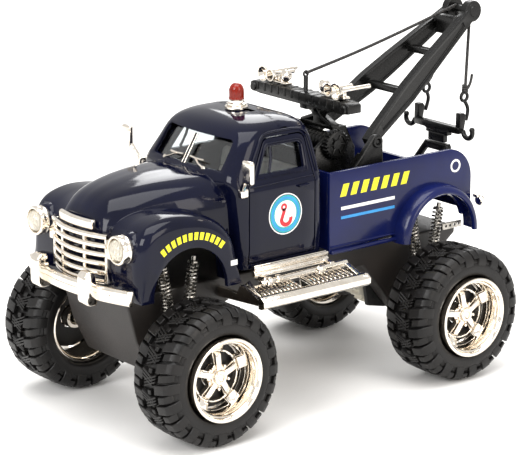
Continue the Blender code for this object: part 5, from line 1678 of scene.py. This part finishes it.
@dataclass
class Boom:
    """Two tapering channel legs, their ties and round heads; sizes in millimetres."""

    foot: Point = (11.5, 28.7, 67.3)
    tip: Point = (3.9, 73.7, 97.5)

    def pocket(self, side: int, outer: bool) -> bpy.types.Object:
        """The channel sunk in one face of a leg, wide in the middle and narrow at both ends."""
        length = math.hypot(self.tip[1] - self.foot[1], self.tip[2] - self.foot[2])
        shape = [(5.0, -1.1), (20.0, -2.2), (30.0, -2.0), (length - 5.0, -1.0), (length - 5.0, 0.8),
                 (30.0, 1.9),
                 (20.0, 2.1), (5.0, 1.1)]
        along = Vector((side * (self.tip[0] - self.foot[0]), self.tip[1] - self.foot[1],
                        self.tip[2] - self.foot[2])).normalized()
        across = along.cross(Vector((0, 0, 1))).normalized()
        up = across.cross(along).normalized()
        normal = along.cross(up)
        facing = normal if (normal.x * side > 0) == outer else -normal
        near, far = facing * 0.7, facing * 1.8
        origin = Vector((side * self.foot[0], self.foot[1], self.foot[2]))
        rings = [[tuple(origin + along * u + up * v + depth) for u, v in shape] for depth in (near, far)]
        return lofted("pocket", rings)

    def build(self, finishes: Finishes) -> None:
        """Makes the boom and the grooved pin at its tip."""
        boom = refined("boom_frame", 0.0)
        for side in (-1, 1):
            for outer in (True, False):
                boolean(boom, self.pocket(side, outer), "DIFFERENCE")
        pieces = [bevel(boom, 0.14, 2, 32.0)]
        for side in (-1, 1):
            pieces.append(turned("head_cap",
                                 [(0.0, 0.4), (1.4, 0.35), (1.6, 0.1), (2.3, 0.1), (2.4, 0.0), (0.0, 0.0)],
                                 (side * 5.1, self.tip[1], self.tip[2]), (side, 0, 0), 32))
        wear(smooth(joined(pieces, "boom_moulding"), 32.0), finishes["black_abs"], Slot.CRANE, "boom",
             "boom_frame")
        wear(refined("tip_roller", 0.1, 2), finishes["black_abs"], Slot.CRANE, "boom", "tip_roller")


@dataclass
class Sling:
    """Crossbar with hooks and eyes, its swivel block and the A-frame below; sizes in millimetres."""

    bar_y: float = 65.5

    def hook(self, side: int) -> bpy.types.Object:
        """A J hook with a blunt tip, curling up at the crossbar's end."""
        centre = (side * 12.4, 65.6, 64.2)
        points = [(side * 8.8, 65.6, 64.0), (side * 10.2, 65.6, 63.9)]
        for i in range(13):
            a = math.radians(190 + 195 * i / 12)
            points.append((centre[0] + side * 1.9 * math.cos(a), centre[1], centre[2] + 1.9 * math.sin(a)))
        hook = tube("hook", points, 0.75, 4, follow=False)
        knob = sphere("knob", points[-1], 0.85, 16)
        return joined([hook, knob], "hook")

    def crossbar(self) -> bpy.types.Object:
        """A bar thicker in the middle, with two posts and a hook at each end."""
        rings = []
        for x, half_y, low, high in ((-9.6, 0.85, 63.2, 64.8), (-9.3, 1.05, 63.05, 64.95),
                                     (-5.0, 1.08, 62.95, 65.0),
                                     (-3.6, 1.1, 62.4, 65.0), (3.6, 1.1, 62.4, 65.0),
                                     (5.0, 1.08, 62.95, 65.0),
                                     (9.3, 1.05, 63.05, 64.95), (9.6, 0.85, 63.2, 64.8)):
            ring = rounded_ring(half_y, low, high, 0.3, 0.3, 3, 2)
            rings.append([(x, self.bar_y + u, z) for u, z in ring])
        pieces = [lofted("bar", rings)]
        for side in (-1, 1):
            post = [(64.7, 63.4), (66.4, 63.4), (67.4, 68.2), (66.6, 69.2), (64.8, 69.2)]
            pieces.append(plate("post", post, "X", side * 8.9 - 1.0, side * 8.9 + 1.0, 0.3, 3))
            pieces.append(self.hook(side))
        pieces.append(block("swivel_top", (-4.6, 64.6, 61.6), (4.6, 66.8, 63.4), 0.35, 3))
        pieces.append(block("swivel", (-3.4, 64.4, 59.4), (3.4, 66.2, 62.0), 0.35, 3))
        pieces.append(turned("swivel_pin", [(0.0, 0.5), (0.6, 0.4), (0.8, 0.0), (0.0, 0.0)],
                             (0.0, 66.5, 62.6), (0, 1, 0), 20))
        return smooth(joined(pieces, "crossbar_with_hooks"), 35.0)

    def a_frame(self) -> bpy.types.Object:
        """Two spread legs under a block, joined by a bar at their feet."""
        pieces = [block("head", (-4.6, 64.2, 56.8), (4.6, 66.4, 59.1), 0.35, 3)]
        for side in (-1, 1):
            pieces.append(tube("leg", [(side * 4.2, 65.3, 58.4), (side * 10.6, 62.2, 47.4)], 1.1, 4,
                               follow=False))
            pieces.append(sphere("knuckle", (side * 10.6, 62.2, 47.3), 1.25, 20))
        pieces.append(bar("foot_bar", (-12.0, 62.2, 47.2), (12.0, 62.2, 47.2), 1.0, 24))
        return smooth(joined(pieces, "a_frame_legs"), 40.0)

    def eye(self, side: int, word: str) -> bpy.types.Object:
        """A wire eye on a bent stem that hooks behind its post."""
        x, y, z = side * 8.1, 67.9, 73.6
        ring = [(x, y + 1.25 * math.cos(a),
                 z + 1.25 * math.sin(a)) for a in [math.tau * i / 24 for i in range(24)]]
        pieces = [tube("ring", ring, 0.5, 3, closed=True, follow=False),
                  tube("stem", [(x, y, 72.5), (side * 8.25, 68.9, 71.2), (side * 8.6, 69.3, 69.6),
                                (side * 8.7, 68.6, 67.9), (side * 8.7, 68.2, 66.6)], 0.55, 3)]
        return smooth(joined(pieces, "wire_eye_" + word), 50.0)

    def build(self, finishes: Finishes) -> None:
        """Makes the whole sling but its ropes."""
        black = finishes["black_abs"]
        wear(self.crossbar(), black, Slot.CRANE, "sling", "tow_crossbar")
        wear(self.a_frame(), black, Slot.CRANE, "sling", "tow_a_frame")
        for side, word in ((1, "left"), (-1, "right")):
            wear(self.eye(side, word), black, Slot.CRANE, "sling", "hook_eye_" + word)


@dataclass
class Ropes:
    """The taut stay and the two hanging ropes with their knots; sizes in millimetres."""

    radius: float = 0.45
    stay: tuple[Point, ...] = ((0.0, 15.0, 86.2), (0.0, 34.0, 89.9), (0.0, 53.0, 94.3), (0.0, 71.4, 99.0))

    def stay_rope(self, finishes: Finishes) -> None:
        """One length of twine from the light bar's loop to the boom's tip."""
        points = [tuple(row) for row in curve_through(list(self.stay), 10)]
        rope = tube("stay_twine", points, self.radius, 3, follow=False)
        rope.data.materials.append(finishes["waxed_black_twine"])
        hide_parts("stay_rope")
        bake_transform(rope)

    def knot(self, name: str, centre: Point, along: Point) -> bpy.types.Object:
        """Three tight turns of twine round a rope."""
        axis = Vector(along).normalized()
        side = axis.orthogonal().normalized()
        other = axis.cross(side)
        points = []
        for i in range(37):
            a = math.tau * i / 12
            points.append(tuple(Vector(centre) + (side * math.cos(a) + other * math.sin(a)) * 0.62
                                + axis * (i / 36 - 0.5) * 2.0))
        return tube(name, points, 0.4, 2, follow=False)

    def hanging(self, side: int, word: str, finishes: Finishes) -> None:
        """One short rope down to its eye, knotted there with its tail turned up."""
        start, end = Vector((side * 1.1, 76.0, 96.4)), Vector((side * 8.1, 68.2, 75.3))
        points = [tuple(start + (end - start) * i / 10) for i in range(11)]
        pieces = [tube("rope", points, self.radius, 3, follow=False),
                  self.knot("knot", tuple(end + Vector((0, 0, 0.6))), tuple(end - start)),
                  tube("tail", [tuple(end), (side * 8.1, 69.8, 75.9), (side * 8.1, 70.6, 77.8),
                                (side * 8.1, 70.8, 79.9)], 0.4, 2)]
        wear(smooth(joined(pieces, "hanging_twine_" + word), 50.0), finishes["waxed_black_twine"],
             Slot.ROPE,
             "sling", "hang_rope_" + word)

    def build(self, finishes: Finishes) -> None:
        """Makes all three ropes."""
        self.stay_rope(finishes)
        for side, word in ((1, "left"), (-1, "right")):
            self.hanging(side, word, finishes)


# ---------------------------------------------------------------- printed marks

@dataclass
class Prints:
    """Plain pad-printed bars, stripes and rings on both sides; sizes in millimetres."""

    bed_x: float = 20.3
    door_x: float = 21.62
    fender_x: float = 25.4
    lift: float = 0.05

    def mark(self, name: str, outline: list[tuple[float, float]], side: int, x: float) -> bpy.types.Object:
        """One printed shape standing a hair proud of a flat side."""
        return plate(name, outline, "X", min(side * (x - 0.1), side * (x + self.lift)),
                     max(side * (x - 0.1), side * (x + self.lift)), 0)

    def ring(self, name: str, centre: tuple[float, float], outer: float, inner: float, side: int,
             x: float) -> bpy.types.Object:
        """A printed ring."""
        low = min(side * (x - 0.1), side * (x + self.lift))
        profile = [(inner, 0.0), (outer, 0.0), (outer, 0.1 + self.lift), (inner, 0.1 + self.lift)]
        return turned(name, profile, (low, centre[0], centre[1]), (1, 0, 0), 64)

    def disc(self, name: str, centre: tuple[float, float], radius: float, side: int,
             x: float) -> bpy.types.Object:
        """A printed round."""
        return self.mark(name, arc_points(centre, radius, 0, 352.5, 47), side, x)

    def bars(self, side: int) -> bpy.types.Object:
        """A row of slanted hazard bars along the bed."""
        made = []
        for i in range(7):
            y = 10.6 + 3.7 * i
            made.append(self.mark("bar", [(y, 55.4), (y + 2.1, 55.4), (y + 3.3, 58.9), (y + 1.2, 58.9)],
                                  side,
                                  self.bed_x))
        return joined(made, "hazard_bars")

    def stripe(self, side: int, low: float, high: float, start: float, end: float) -> bpy.types.Object:
        """A level pinstripe along the bed."""
        return self.mark("pinstripe", [(start, low), (end, low), (end, high), (start, high)], side,
                         self.bed_x)

    def arch_dashes(self, side: int) -> bpy.types.Object:
        """A row of dashes that follows the front arch."""
        made = []
        for i in range(12):
            a, b = 128 - 7.0 * i, 128 - 7.0 * i - 4.6
            outer = arc_points((-44.4, 39.65), 16.2, a, b, 2)
            inner = arc_points((-44.4, 39.65), 14.2, b, a, 2)
            made.append(self.mark("dash", outer + inner, side, self.fender_x))
        return joined(made, "arch_dashes")

    def hook_sign(self, side: int, centre: tuple[float, float]) -> bpy.types.Object:
        """A plain hook shape: an eye, a shank and a curl."""
        y, z = centre
        curl = arc_points((y, z - 1.0), 2.2, 180, 370, 14) + arc_points((y, z - 1.0), 1.05, 370, 180, 14)
        shank = [(y - 2.2, z - 1.1), (y - 1.05, z - 1.1), (y - 0.2, z + 1.0), (y - 0.2, z + 2.0),
                 (y - 1.3, z + 2.0),
                 (y - 1.3, z + 1.2)]
        x = self.door_x + 0.05
        pieces = [self.mark("curl", curl, side, x), self.mark("shank", shank, side, x),
                  self.ring("eye", (y - 0.75, z + 2.35), 1.05, 0.4, side, x)]
        return joined(pieces, "hook_sign")

    def build(self, finishes: Finishes) -> None:
        """Prints both sides alike."""
        for side, word in ((1, "left"), (-1, "right")):
            door = "door_" + word
            for piece, ink, body in (
                (self.bars(side), "yellow_ink", "truck"),
                (self.stripe(side, 51.6, 52.5, 11.0, 30.6), "white_ink", "truck"),
                (self.stripe(side, 49.0, 49.8, 11.0, 30.6), "sky_blue_ink", "truck"),
                (self.ring("rear_ring", (53.6, 57.6), 1.9, 1.3, side, self.bed_x), "white_ink", "truck"),
                (self.arch_dashes(side), "yellow_ink", "truck"),
                (self.mark("fender_tab", [(-31.4, 44.6), (-29.2, 44.6), (-29.2, 46.0), (-31.4, 46.0)], side,
                           self.fender_x), "white_ink", "truck"),
                (self.ring("door_ring", (-9.8, 54.4), 5.2, 3.7, side, self.door_x), "teal_ink", door),
                (self.ring("door_edge", (-9.8, 54.4), 5.7, 5.4, side, self.door_x), "white_ink", door),
                (self.ring("door_inner_ring", (-9.8, 54.4), 4.7, 4.2, side, self.door_x + 0.02),
                 "sky_blue_ink", door),
                (self.disc("door_disc", (-9.8, 54.4), 3.75, side, self.door_x), "white_ink", door),
                (self.hook_sign(side, (-9.6, 54.0)), "red_ink", door),
            ):
                piece.name = "%s_%s" % (piece.name.split(".")[0], word)
                wear(piece, finishes[ink], Slot.CAB, body)


def main() -> None:
    """Builds the studio, the finishes and every sub-assembly in order."""
    logging.basicConfig(level=logging.INFO, format="%(name)s: %(message)s")
    Studio().build()
    finishes = Finishes().build()
    carried_over(finishes)
    Body().build(finishes)
    Cabin().build(finishes)
    Nose().build(finishes)
    CabTrim().build(finishes)
    Bed().build(finishes)
    Steps().build(finishes)
    Underside().build(finishes)
    Mast().build(finishes)
    Boom().build(finishes)
    Sling().build(finishes)
    Ropes().build(finishes)
    Prints().build(finishes)
    Wheel().build(finishes)
    CoilShock().build(finishes)
    deselect()


if __name__ == "__main__":
    main()
